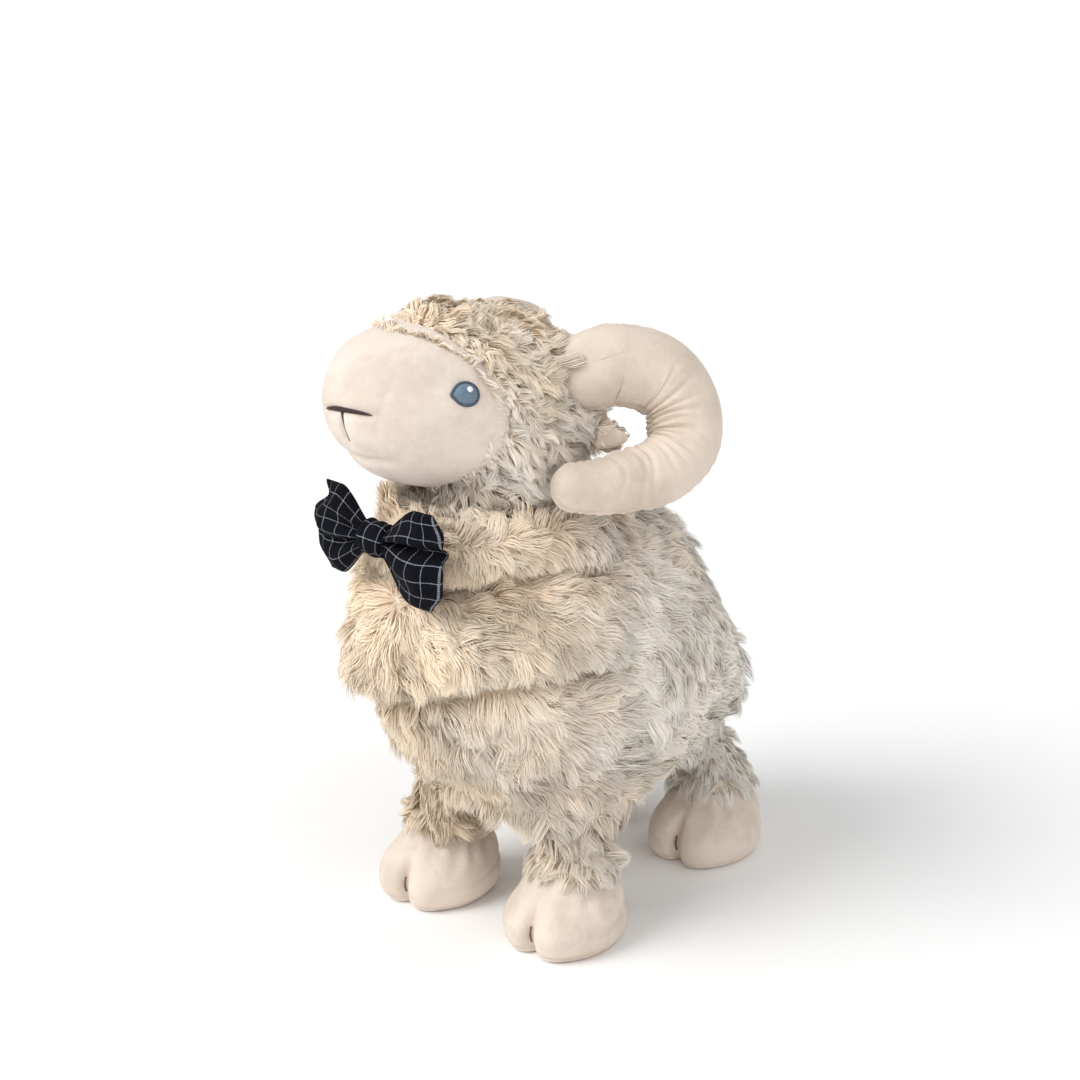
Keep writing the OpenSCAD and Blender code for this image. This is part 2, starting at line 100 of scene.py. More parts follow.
class RamWool(bpy.types.PropertyGroup):
    """The long pile and the cloth that it grows from."""

    body_strands: count("Body strands", "Strands of pile on the body", 165000)
    leg_strands: count("Leg strands", "Strands of pile on the four legs", 27000)
    head_strands: count("Head strands", "Strands of pile on the head", 56000)
    ear_strands: count("Ear strands", "Strands of pile on each ear", 1500)
    neck_strands: count("Neck strands", "Strands of pile on the neck's edge", 9000)
    tail_strands: count("Tail strands", "Strands of pile on the tail", 4500)
    body_length: length("Body pile", "Length of a strand on the body", 0.0145)
    leg_length: length("Leg pile", "Length of a strand on a leg", 0.012)
    head_length: length("Head pile", "Length of a strand on the head", 0.0115)
    ear_length: length("Ear pile", "Length of a strand on an ear", 0.0065)
    strand_width: length("Strand width", "Width of a strand at its root", 0.0005)
    body_bed: length("Body bed", "Depth of the backing cloth under the body's outline", 0.0075)
    head_bed: length("Head bed", "Depth of the backing cloth under the head's outline", 0.0055)
    # the darker root colour is painted shade deep in the pile, between the tufts
    root: colour("Root", "Colour of the pile near its roots", (0.74, 0.625, 0.50))
    middle: colour("Middle", "Colour of the middle of a strand", (0.965, 0.88, 0.77))
    tip: colour("Tip", "Colour of the tips", (1.0, 0.97, 0.905))
    warm: colour("Warm tint", "Tint of the warmest strands", (1.0, 0.885, 0.745))
    # the backing's darker colour is painted shade at the bottom of the pile
    backing: colour("Backing", "Colour of the knitted backing", (0.72, 0.61, 0.49))


class RamPlush(bpy.types.PropertyGroup):
    """The smooth short plush of the face, horns and hooves."""

    colour: colour("Colour", "Colour of the plush", (0.80, 0.70, 0.61))
    # the nap's lie is real; the darker colour where it lies the other way is a painted change of sheen
    pressed_nap_sheen: colour("Pressed nap", "Colour where the nap lies the other way", (0.68, 0.58, 0.495))
    seam_depth: length("Seam depth", "Depth of a seam's groove", 0.0013)
    wrinkle_depth: length("Wrinkle depth", "Depth of the wrinkles inside the curl of a horn", 0.0022)
    thread: colour("Thread", "Colour of the nose and mouth stitches", (0.018, 0.010, 0.008))
    eye: colour("Eye", "Colour of the embroidered eye", (0.105, 0.15, 0.195))
    eye_ring: colour("Eye ring", "Colour of the ring round the eye", (0.05, 0.065, 0.088))
    glint: colour("Glint", "Colour of the eye's glint", (0.92, 0.94, 0.95))


class RamBow(bpy.types.PropertyGroup):
    """The bow tie."""

    cloth: colour("Cloth", "Colour of the bow's cloth", (0.0028, 0.0033, 0.0062))
    line: colour("Line", "Colour of the thin woven lines", (0.36, 0.38, 0.43))
    pitch: length("Line pitch", "Distance between the woven lines", 0.0078)
    line_width: length("Line width", "Width of a woven line", 0.00044)


# ---------------------------------------------------------------- numbers and curves


def unit(v):
    return v / np.maximum(np.linalg.norm(v, axis=-1, keepdims=True), 1e-12)


def smooth(a, b, x):
    t = np.clip((x - a) / (b - a), 0, 1)
    return t * t * (3 - 2 * t)


def bell(x, width):
    return np.exp(-((x / width) ** 2))


def mix(a, b, t):
    return a + (b - a) * t


def turned(v, axis, angle):
    """Vectors turned about unit axes by angles."""
    c, s = np.cos(angle)[:, None], np.sin(angle)[:, None]
    return v * c + np.cross(axis, v) * s + axis * np.sum(axis * v, 1)[:, None] * (1 - c)


def drift(points, size, seed, waves=9):
    """A smooth field that wanders between about -1 and 1, with lumps of that size."""
    rng = np.random.default_rng(seed)
    k = unit(rng.normal(size=(waves, 3))) * 2 * math.pi / size * rng.uniform(0.55, 1.5, (waves, 1))
    return np.sin(points @ k.T + rng.uniform(0, 2 * math.pi, waves)).sum(-1) / math.sqrt(waves / 2) * 0.7


def resampled(keys, n):
    """A smooth curve through stations, at n + 1 places, by the same rule as the frame's solids."""
    keys = np.array(keys, float)
    last = len(keys) - 1
    u = np.linspace(0, last, n + 1)
    i = np.clip(np.floor(u).astype(int), 0, last - 1)
    t = (u - i)[:, None]
    a, b, c, d = keys[np.maximum(i - 1, 0)], keys[i], keys[i + 1], keys[np.minimum(i + 2, last)]
    return (2 * b + (c - a) * t + (2 * a - 5 * b + 4 * c - d) * t**2 + (3 * b - a - 3 * c + d) * t**3) / 2


def from_head(p):
    """Points in the head's own millimetres, in the frame's metres."""
    return head_pivot + (np.asarray(p) * MM) @ head_axes


def to_head(p):
    return ((np.asarray(p) - head_pivot) @ head_axes.T) / MM


# ---------------------------------------------------------------- meshes


def make_object(name, mesh, material):
    obj = bpy.data.objects.new(name, mesh)
    bpy.context.scene.collection.objects.link(obj)
    mesh.materials.append(material)
    return obj


def belongs(obj, body, slot, *nodes, fill=None):
    """Puts a piece on its body, in place of nodes of the frame."""
    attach(obj, body)
    if nodes:
        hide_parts(*nodes)
    return obj


def make_mesh(name, points, faces, cloth=None):
    """A clean mesh. cloth gives the place of each point in the cut cloth, in metres."""
    mesh = bpy.data.meshes.new(name)
    mesh.from_pydata(np.asarray(points).tolist(), [], [list(map(int, f)) for f in faces])
    if cloth is not None:
        corners = np.zeros(len(mesh.loops), int)
        mesh.loops.foreach_get("vertex_index", corners)
        places = np.asarray(cloth, np.float32)[corners]
        mesh.uv_layers.new(name="cloth").data.foreach_set("uv", places.ravel())
    b = bmesh.new()
    b.from_mesh(mesh)
    bmesh.ops.remove_doubles(b, verts=b.verts, dist=1e-7)
    bmesh.ops.recalc_face_normals(b, faces=b.faces)
    b.to_mesh(mesh)
    b.free()
    mesh.shade_smooth()
    return mesh


def grid_faces(rows, cols, wrap):
    i, j = np.meshgrid(np.arange(rows - 1), np.arange(cols if wrap else cols - 1), indexing="ij")
    a, b = i * cols + j, i * cols + (j + 1) % cols
    return np.stack([a, b, b + cols, a + cols], -1).reshape(-1, 4)


def surface(name, grid, material, wrap=True, ends=True, cloth=None):
    """A piece through a grid of points. A wrapped grid closes on itself, and its ends may be closed."""
    rows, cols = grid.shape[:2]
    points = grid.reshape(-1, 3)
    faces = grid_faces(rows, cols, wrap).tolist()
    if ends:
        points = np.vstack([points, grid[0].mean(0), grid[-1].mean(0)])
        last = (rows - 1) * cols
        for j in range(cols):
            k = (j + 1) % cols
            faces += [[k, j, rows * cols], [last + j, last + k, rows * cols + 1]]
    return make_object(name, make_mesh(name, points, faces, cloth), material)


def tube(path, radius, sides=10, flat=1.0, out=None):
    """A grid round a path. flat squeezes it along out, the direction that it faces."""
    path = np.asarray(path, float)
    tangent = unit(np.gradient(path, axis=0))
    out = np.tile([0.1, -1, 0.2], (len(path), 1)) if out is None else out
    side = unit(np.cross(tangent, out))
    up = np.cross(side, tangent)
    a = np.linspace(0, 2 * math.pi, sides, endpoint=False)
    r = np.broadcast_to(radius, (len(path),))[:, None, None]
    return path[:, None] + r * (side[:, None] * np.cos(a)[:, None] + flat * up[:, None] * np.sin(a)[:, None])


def skin_of(names, voxel):
    """Points and four-sided faces of one skin round several of the frame's solids."""
    points, faces, start = [], [], 0
    for n in names:
        mesh = NODES[n].data
        points += [v.co[:] for v in mesh.vertices]
        faces += [[start + i for i in p.vertices] for p in mesh.polygons]
        start = len(points)
    mesh = bpy.data.meshes.new("skin")
    mesh.from_pydata(points, [], faces)
    obj = bpy.data.objects.new("skin", mesh)
    bpy.context.scene.collection.objects.link(obj)
    remesh = obj.modifiers.new("Remesh", "REMESH")
    remesh.mode = "VOXEL"
    remesh.voxel_size = voxel
    done = obj.evaluated_get(bpy.context.evaluated_depsgraph_get()).to_mesh()
    co = np.zeros(len(done.vertices) * 3)
    done.vertices.foreach_get("co", co)
    quads = np.zeros(len(done.loops), int)
    done.loops.foreach_get("vertex_index", quads)
    quads = quads.reshape(-1, 4)
    bpy.data.objects.remove(obj)
    bpy.data.meshes.remove(mesh)
    return largest_part(co.reshape(-1, 3), quads)


def edges_of(quads):
    return np.vstack([quads[:, [0, 1]], quads[:, [1, 2]], quads[:, [2, 3]], quads[:, [3, 0]]])


def largest_part(points, quads):
    """The connected part with the most points, so that no closed-in hollow stays."""
    label, edges = np.arange(len(points)), edges_of(quads)
    while True:
        low = label.copy()
        np.minimum.at(low, edges[:, 0], label[edges[:, 1]])
        low = low[low]
        if (low == label).all():
            break
        label = low
    keep = label == np.bincount(label).argmax()
    index = np.cumsum(keep) - 1
    return points[keep], index[quads[keep[quads[:, 0]]]]


def relaxed(points, quads, rounds):
    edges = edges_of(quads)
    degree = np.bincount(edges[:, 0], minlength=len(points))[:, None]
    for _ in range(rounds):
        total = np.zeros_like(points)
        for axis in range(3):
            total[:, axis] = np.bincount(edges[:, 0], points[edges[:, 1], axis], len(points))
        points = points + 0.5 * (total / degree - points)
    return points


def normals_of(points, quads):
    p = points[quads]
    face = np.cross(p[:, 2] - p[:, 0], p[:, 3] - p[:, 1])
    total = np.zeros_like(points)
    for corner in range(4):
        for axis in range(3):
            total[:, axis] += np.bincount(quads[:, corner], face[:, axis], len(points))
    return unit(total)


# ---------------------------------------------------------------- node groups and materials


def group_of(name, sockets_in, sockets_out):
    group = bpy.data.node_groups.new(name, "ShaderNodeTree")
    for label, kind, default in sockets_in:
        socket = group.interface.new_socket(label, in_out="INPUT", socket_type=kind)
        socket.default_value = default
    for label, kind in sockets_out:
        group.interface.new_socket(label, in_out="OUTPUT", socket_type=kind)
    return group, group.nodes.new("NodeGroupInput"), group.nodes.new("NodeGroupOutput")


def add_node(tree, kind, inputs=None, **settings):
    """A node with its settings, and its inputs set to values or joined to sockets."""
    node = tree.nodes.new(kind)
    for key, value in settings.items():
        setattr(node, key, value)
    for key, value in (inputs or {}).items():
        if isinstance(value, bpy.types.NodeSocket):
            tree.links.new(value, node.inputs[key])
        else:
            node.inputs[key].default_value = value
    return node


def maths(tree, operation, a, b=0.0, clamp=False):
    return add_node(tree, "ShaderNodeMath", {0: a, 1: b}, operation=operation, use_clamp=clamp).outputs[0]


def noise(tree, where, scale, detail=2.0, roughness=0.5):
    values = {"Vector": where, "Scale": scale, "Detail": detail, "Roughness": roughness}
    return add_node(tree, "ShaderNodeTexNoise", values).outputs["Fac"]


def blended(tree, factor, a, b, mode="MIX"):
    node = add_node(tree, "ShaderNodeMix", {0: factor, 6: a, 7: b}, data_type="RGBA", blend_type=mode)
    return node.outputs[2]


def spread(tree, value, low, high, to_low=0.0, to_high=1.0):
    limits = {"Value": value, "From Min": low, "From Max": high, "To Min": to_low, "To Max": to_high}
    return add_node(tree, "ShaderNodeMapRange", limits).outputs[0]


def rgba(c):
    return (*c, 1.0)


def short_nap_group():
    """Short plush: patches where the nap lies the other way, darker there as a painted change of sheen, and its
    fine grain.
    """
    group, given, made = group_of(
        "Short nap",
        [("Colour", "NodeSocketColor", (1, 1, 1, 1)), ("Pressed", "NodeSocketColor", (1, 1, 1, 1)),
         ("Patch scale", "NodeSocketFloat", 38.0)],
        [("Colour", "NodeSocketColor"), ("Height", "NodeSocketFloat"), ("Roughness", "NodeSocketFloat")])
    where = add_node(group, "ShaderNodeTexCoord").outputs["Object"]
    patches = noise(group, where, given.outputs["Patch scale"], 3.0, 0.55)
    streaks = noise(group, where, 240.0, 2.0, 0.6)
    grain = noise(group, where, 1900.0, 1.0, 0.6)
    nap_sheen_mask = spread(group, patches, 0.44, 0.66)
    nap_sheen_mask = maths(group, "ADD", nap_sheen_mask, spread(group, streaks, 0.35, 0.75, -0.16, 0.2), clamp=True)
    nap_sheen_mask = maths(group, "ADD", nap_sheen_mask, spread(group, grain, 0.3, 0.7, -0.13, 0.13), clamp=True)
    # painted sheen: darker where the nap lies the other way
    tone = blended(group, nap_sheen_mask, given.outputs["Colour"], given.outputs["Pressed"])
    group.links.new(tone, made.inputs["Colour"])
    height = maths(group, "ADD", grain, maths(group, "MULTIPLY", streaks, 1.3))
    group.links.new(height, made.inputs["Height"])
    group.links.new(spread(group, nap_sheen_mask, 0.0, 1.0, 0.93, 0.8), made.inputs["Roughness"])
    return group


def pile_tint_group():
    """Colour of a strand. Its map holds a palette place across and the way from root to tip upwards:
    eight steps of warmth, with the strand's own lightness within each step."""
    group, given, made = group_of(
        "Pile tint",
        [("Root", "NodeSocketColor", (1, 1, 1, 1)), ("Middle", "NodeSocketColor", (1, 1, 1, 1)),
         ("Tip", "NodeSocketColor", (1, 1, 1, 1)), ("Warm", "NodeSocketColor", (1, 1, 1, 1))],
        [("Colour", "NodeSocketColor")])
    place = add_node(group, "ShaderNodeSeparateXYZ",
                     {0: add_node(group, "ShaderNodeUVMap", uv_map="OFBake").outputs[0]})
    steps = maths(group, "MULTIPLY", place.outputs[0], float(WARM_STEPS))
    warmth = maths(group, "DIVIDE", maths(group, "FLOOR", steps), WARM_STEPS - 1.0)
    lightness = maths(group, "FRACT", steps)
    up = place.outputs[1]
    # painted shade: darker from the root towards the middle of a strand
    lower = blended(group, spread(group, up, 0.05, 0.42), given.outputs["Root"], given.outputs["Middle"])
    whole = blended(group, spread(group, up, 0.4, 0.95), lower, given.outputs["Tip"])
    level = spread(group, lightness, 0.12, 0.88, 0.75, 1.1)
    grey = add_node(group, "ShaderNodeCombineColor", {0: level, 1: level, 2: level}).outputs[0]
    lit = blended(group, 1.0, whole, grey, "MULTIPLY")
    group.links.new(blended(group, warmth, lit, blended(group, 1.0, lit, given.outputs["Warm"], "MULTIPLY")),
                    made.inputs["Colour"])
    return group


def windowpane_group():
    """Woven cloth with thin lines both ways, read from the piece's cloth map in metres."""
    group, given, made = group_of(
        "Windowpane",
        [("Cloth", "NodeSocketColor", (0, 0, 0, 1)), ("Line", "NodeSocketColor", (1, 1, 1, 1)),
         ("Pitch", "NodeSocketFloat", 0.008), ("Width", "NodeSocketFloat", 0.0006)],
        [("Colour", "NodeSocketColor"), ("Height", "NodeSocketFloat"), ("Roughness", "NodeSocketFloat")])
    place = add_node(group, "ShaderNodeSeparateXYZ",
                     {0: add_node(group, "ShaderNodeUVMap", uv_map="cloth").outputs[0]})
    weave, lines = [], []
    for axis in (0, 1):
        across, along = place.outputs[axis], place.outputs[1 - axis]
        wave = maths(group, "PINGPONG", across, maths(group, "MULTIPLY", given.outputs["Pitch"], 0.5))
        near = maths(group, "LESS_THAN", wave, maths(group, "MULTIPLY", given.outputs["Width"], 0.5))
        stitch = maths(group, "SINE", maths(group, "MULTIPLY", along, 7200.0))
        dashes = maths(group, "GREATER_THAN", stitch, -0.55)
        lines.append(maths(group, "MULTIPLY", near, dashes))
        weave.append(maths(group, "SINE", maths(group, "MULTIPLY", across, 9000.0)))
    crossing = maths(group, "MULTIPLY", weave[0], weave[1])
    lined = maths(group, "MAXIMUM", lines[0], lines[1])
    fuzz = noise(group, add_node(group, "ShaderNodeTexCoord").outputs["Object"], 900.0)
    lint = maths(group, "MULTIPLY", fuzz, 0.5)
    cloth = blended(group, lint, given.outputs["Cloth"], (0.012, 0.013, 0.018, 1))
    worn = maths(group, "MULTIPLY", lined, spread(group, fuzz, 0.25, 0.6, 0.45, 1.0))
    group.links.new(blended(group, worn, cloth, given.outputs["Line"]), made.inputs["Colour"])
    height = maths(group, "ADD", crossing, maths(group, "MULTIPLY", lined, 0.8))
    group.links.new(height, made.inputs["Height"])
    group.links.new(spread(group, crossing, -1.0, 1.0, 0.78, 0.92), made.inputs["Roughness"])
    return group


def new_material(name, roughness=0.85, sheen=0.0, sheen_roughness=0.5, sheen_tint=(1, 1, 1)):
    material = bpy.data.materials.new(f"ram_{name}")
    material.use_nodes = True
    shader = material.node_tree.nodes["Principled BSDF"]
    shader.inputs["Roughness"].default_value = roughness
    shader.inputs["Specular IOR Level"].default_value = 0.25
    shader.inputs["Sheen Weight"].default_value = sheen
    shader.inputs["Sheen Roughness"].default_value = sheen_roughness
    shader.inputs["Sheen Tint"].default_value = rgba(sheen_tint)
    material.diffuse_color = rgba((0.7, 0.62, 0.5))
    return material, material.node_tree, shader


def add_bump(tree, shader, height, distance, strength=1.0):
    bump = add_node(tree, "ShaderNodeBump", {"Height": height, "Distance": distance, "Strength": strength})
    tree.links.new(bump.outputs[0], shader.inputs["Normal"])


def use_group(tree, group, inputs):
    node = add_node(tree, "ShaderNodeGroup", node_tree=group)
    for key, value in inputs.items():
        node.inputs[key].default_value = value
    return node


def pile_material():
    wool = bpy.context.scene.ram_wool
    material, tree, shader = new_material("wool_pile", 0.72, 0.25, 0.4)
    tint = use_group(tree, bpy.data.node_groups["Pile tint"],
                     {"Root": rgba(wool.root), "Middle": rgba(wool.middle), "Tip": rgba(wool.tip),
                      "Warm": rgba(wool.warm)})
    tree.links.new(tint.outputs[0], shader.inputs["Base Color"])
    return material


def backing_material():
    wool = bpy.context.scene.ram_wool
    material, tree, shader = new_material("wool_backing", 0.95)
    where = add_node(tree, "ShaderNodeTexCoord").outputs["Object"]
    tufts = noise(tree, where, 330.0, 3.0, 0.65)
    patches = noise(tree, where, 60.0, 2.0)
    tone = maths(tree, "ADD", maths(tree, "MULTIPLY", tufts, 0.7), maths(tree, "MULTIPLY", patches, 0.4))
    # painted shade: the backing is darker than the pile above it
    pale = tuple(min(1.0, c * 1.5) for c in wool.backing)
    tree.links.new(blended(tree, spread(tree, tone, 0.35, 0.75), rgba(wool.backing), rgba(pale)),
                   shader.inputs["Base Color"])
    add_bump(tree, shader, tufts, 0.0016)
    return material


FACE_TINT = np.array([1.0, 1.0, 1.0])
HORN_TINT = np.array([0.93, 0.905, 0.875])
HOOF_TINT = np.array([0.97, 0.955, 0.94])


def plush_material(name, patch_scale, tint):
    plush = bpy.context.scene.ram_plush
    material, tree, shader = new_material(name, 0.88, 0.3, 0.45, (1.0, 0.96, 0.92))
    values = {"Colour": rgba(np.array(plush.colour) * tint),
              "Pressed": rgba(np.array(plush.pressed_nap_sheen) * tint),
              "Patch scale": patch_scale}
    nap = use_group(tree, bpy.data.node_groups["Short nap"], values)
    tree.links.new(nap.outputs["Colour"], shader.inputs["Base Color"])
    tree.links.new(nap.outputs["Roughness"], shader.inputs["Roughness"])
    add_bump(tree, shader, nap.outputs["Height"], 0.00035, 0.7)
    return material


def stitched_material(name, base, light, roughness=0.5):
    """Shiny embroidery thread, finely ribbed."""
    material, tree, shader = new_material(name, roughness, 0.15)
    where = add_node(tree, "ShaderNodeTexCoord").outputs["Object"]
    fibre = noise(tree, where, 1500.0, 2.0, 0.6)
    tone = blended(tree, spread(tree, fibre, 0.3, 0.75), rgba(base), rgba(light))
    tree.links.new(tone, shader.inputs["Base Color"])
    add_bump(tree, shader, fibre, 0.0003)
    return material


def wadding_material():
    material, tree, shader = new_material("wadding", 0.95)
    where = add_node(tree, "ShaderNodeTexCoord").outputs["Object"]
    fibre = noise(tree, where, 500.0, 4.0, 0.7)
    tone = blended(tree, fibre, (0.93, 0.93, 0.91, 1), (0.8, 0.8, 0.78, 1))
    tree.links.new(tone, shader.inputs["Base Color"])
    add_bump(tree, shader, fibre, 0.001)
    return material


def cloth_material():
    bow = bpy.context.scene.ram_bow
    material, tree, shader = new_material("bow_cloth", 0.9)
    shader.inputs["Specular IOR Level"].default_value = 0.08
    values = {"Cloth": rgba(bow.cloth), "Line": rgba(bow.line), "Pitch": bow.pitch, "Width": bow.line_width}
    pane = use_group(tree, bpy.data.node_groups["Windowpane"], values)
    tree.links.new(pane.outputs["Colour"], shader.inputs["Base Color"])
    tree.links.new(pane.outputs["Roughness"], shader.inputs["Roughness"])
    add_bump(tree, shader, pane.outputs["Height"], 0.00012)
    return material


def material_named(name, make, *args):
    return bpy.data.materials.get(f"ram_{name}") or make(*args)


# ---------------------------------------------------------------- pile

WARM_STEPS = 8
STATIONS = 5  # places along a strand, the last of them its tip
STRAND_TAPER = np.array([1.0, 1.0, 0.84, 0.55])


class Pile:
    """How the strands of one area lie. Angles are in degrees and lengths in metres."""

    def __init__(self, length, lift=32, droop=0.4, clump=36, pull=0.72, curl=0.06, turns=0.8, jitter=16,
                 clump_jitter=26, uneven=0.22):
        self.length, self.lift, self.droop = length, lift, droop
        self.clump, self.pull, self.curl, self.turns = clump, pull, curl, turns
        self.jitter, self.clump_jitter, self.uneven = jitter, clump_jitter, uneven


def scattered(points, quads, normals, number, weight, rng):
    """Evenly spread places on a skin, with their normals. weight says how thickly they lie at each point."""
    tris = np.vstack([quads[:, [0, 1, 2]], quads[:, [0, 2, 3]]])
    p = points[tris]
    area = np.linalg.norm(np.cross(p[:, 1] - p[:, 0], p[:, 2] - p[:, 0]), axis=1) * weight[tris].mean(1)
    chosen = rng.choice(len(tris), number, p=area / area.sum())
    u, v = rng.random((2, number, 1))
    flip = u + v > 1
    u, v = np.where(flip, 1 - u, u), np.where(flip, 1 - v, v)
    a, b, c = (points[tris[chosen, i]] for i in range(3))
    na, nb, nc = (normals[tris[chosen, i]] for i in range(3))
    return a + (b - a) * u + (c - a) * v, unit(na + (nb - na) * u + (nc - na) * v)


def grow(name, roots, normals, groom, pile, scale, warmth, seed, body, parts=1, lift=None, tone=0.0):
    """Grows strands from their roots along groom, gathers them in clumps and makes them into pieces."""
    rng = np.random.default_rng(seed)
    n = len(roots)
    centres = rng.choice(n, max(1, n // pile.clump), replace=False)
    tree = KDTree(len(centres))
    for i, c in enumerate(centres):
        tree.insert(roots[c], i)
    tree.balance()
    owner = np.array([tree.find(r)[1] for r in roots])

    def per_clump(low, high):
        return rng.uniform(low, high, len(centres))[owner]

    groom = unit(groom - normals * np.sum(groom * normals, 1)[:, None])
    swing = np.radians(per_clump(-1, 1) * pile.clump_jitter + rng.normal(0, pile.jitter, n))
    groom = turned(groom, normals, swing)
    lift = (pile.lift if lift is None else lift) + per_clump(-9, 12) + rng.normal(0, 6, n)
    lift = np.radians(lift)[:, None]
    long = pile.length * scale * (1 + per_clump(-pile.uneven, pile.uneven * 0.7)) * rng.uniform(0.78, 1.12, n)
    start = normals * np.sin(lift) + groom * np.cos(lift)
    sag = unit(groom * 0.5 - normals * 0.75 + np.array([0, 0, -0.45]))
    side = unit(np.cross(start, normals))
    t = np.linspace(0, 1, STATIONS)
    wave = 2 * math.pi * (pile.turns * t + per_clump(0, 1)[:, None])
    bow_side = pile.curl * per_clump(-1.3, 1.3)[:, None] * (np.sin(wave) - np.sin(wave[:, :1])) * t
    bow_up = pile.curl * (np.cos(wave) - np.cos(wave[:, :1])) * t
    lines = (start[:, None] * t[:, None] + pile.droop * sag[:, None] * (t**2)[:, None]
             + side[:, None] * bow_side[..., None] + normals[:, None] * bow_up[..., None])
    lines = roots[:, None] + lines * long[:, None, None]
    lead = centres[owner]
    pull = (pile.pull * t**1.15)[:, None]
    lines = lines * (1 - pull) + (lines[lead] + 0.25 * (roots - roots[lead])[:, None]) * pull

    tangent = unit(np.gradient(lines, axis=1))
    roll = np.radians(rng.normal(0, 28, n))
    flat = unit(np.cross(tangent, normals[:, None]))
    face = np.cross(flat, tangent)
    flat = flat * np.cos(roll)[:, None, None] + face * np.sin(roll)[:, None, None]
    half = bpy.context.scene.ram_wool.strand_width / 2 * rng.uniform(0.7, 1.2, n)[:, None] * STRAND_TAPER
    left = lines[:, :-1] - flat[:, :-1] * half[..., None]
    right = lines[:, :-1] + flat[:, :-1] * half[..., None]
    points = np.concatenate([np.stack([left, right], 2).reshape(n, -1, 3), lines[:, -1:]], 1)
    shade = unit(normals * 0.8 + unit(rng.normal(size=(n, 3))) * 0.22)
    shade = np.repeat(shade[:, None], 2 * STATIONS - 1, 1) + 0.35 * np.concatenate(
        [np.repeat(face[:, :-1], 2, 1), face[:, -1:]], 1)

    step = np.clip(np.floor((warmth + rng.normal(0, 0.09, n)) * WARM_STEPS), 0, WARM_STEPS - 1)
    patches = 0.24 * drift(roots, 0.034, seed + 100) + tone
    light = np.clip(0.5 + patches + per_clump(-0.24, 0.24) + rng.normal(0, 0.12, n), 0.12, 0.88)
    place = (step + light) / WARM_STEPS
    across = np.tile([-0.006, 0.006], STATIONS - 1)
    u = place[:, None] + np.append(across, 0.0)
    v = np.broadcast_to(np.append(np.repeat(t[:-1], 2), 1.0) * 0.96 + 0.02, u.shape)
    return [strand_piece(f"{name}_{k + 1}" if parts > 1 else name, points[s], shade[s], u[s], v[s], body)
            for k, s in enumerate(np.array_split(np.arange(n), parts))]


def strand_piece(name, points, shade, u, v, body):
    n, m = points.shape[:2]
    quads = np.array([[2 * i, 2 * i + 1, 2 * i + 3, 2 * i + 2] for i in range(STATIONS - 2)]).ravel()
    corners = np.append(quads, [m - 3, m - 2, m - 1])
    starts = np.append(np.arange(0, len(quads), 4), len(quads))
    loops = (corners + np.arange(n)[:, None] * m).ravel()
    mesh = bpy.data.meshes.new(name)
    mesh.vertices.add(n * m)
    mesh.vertices.foreach_set("co", points.astype(np.float32).ravel())
    mesh.loops.add(len(loops))
    mesh.loops.foreach_set("vertex_index", loops.astype(np.int32))
    mesh.polygons.add(n * len(starts))
    loop_start = (starts + np.arange(n)[:, None] * len(corners)).ravel()
    mesh.polygons.foreach_set("loop_start", loop_start.astype(np.int32))
    mesh.update(calc_edges=True)
    uv = mesh.uv_layers.new(name="OFBake")
    pairs = np.stack([u.ravel()[loops], v.ravel()[loops]], 1)
    uv.data.foreach_set("uv", pairs.astype(np.float32).ravel())
    mesh.shade_smooth()
    mesh.normals_split_custom_set_from_vertices(unit(shade).reshape(-1, 3))
    return belongs(make_object(name, mesh, material_named("wool_pile", pile_material)), body, "wool_pile")


def bed(name, points, quads, body, replaced, fill):
    """The knitted backing that the pile grows from, stuffed."""
    mesh = make_mesh(name, points, quads)
    obj = make_object(name, mesh, material_named("wool_backing", backing_material))
    return belongs(obj, body, "wool_pile", *replaced, fill=fill)


# ---------------------------------------------------------------- body

BOWL_R = 57.8 * MM  # hollow in the body that holds the round of the head
LEG_TOP = 64 * MM
# creases round the chest: height, angles from and to, depth, half width, and fall past a turn of the chest
CREASES = (
    {"z": 150, "from": -128, "to": -30, "depth": 11.0, "half": 5.2, "fall": 0.5},
    {"z": 200, "from": -104, "to": -30, "depth": 8.5, "half": 4.4, "fall": 0.0},
)


def crease_field(points):
    """For each crease: how near it each point lies, from 0 to 1, and the height above it in millimetres."""
    x, y, z = ((points - stance) / MM).T
    angle = np.degrees(np.arctan2(y + 12, x))
    fields = []
    for c in CREASES:
        line = c["z"] - c["fall"] * np.maximum(0, -70 - angle) + 1.6 * np.sin(np.radians(angle * 5))
        ends = smooth(c["from"] - 14, c["from"] + 6, angle) * (1 - smooth(c["to"] - 10, c["to"] + 12, angle))
        fields.append((ends, z - line, c))
    return fields


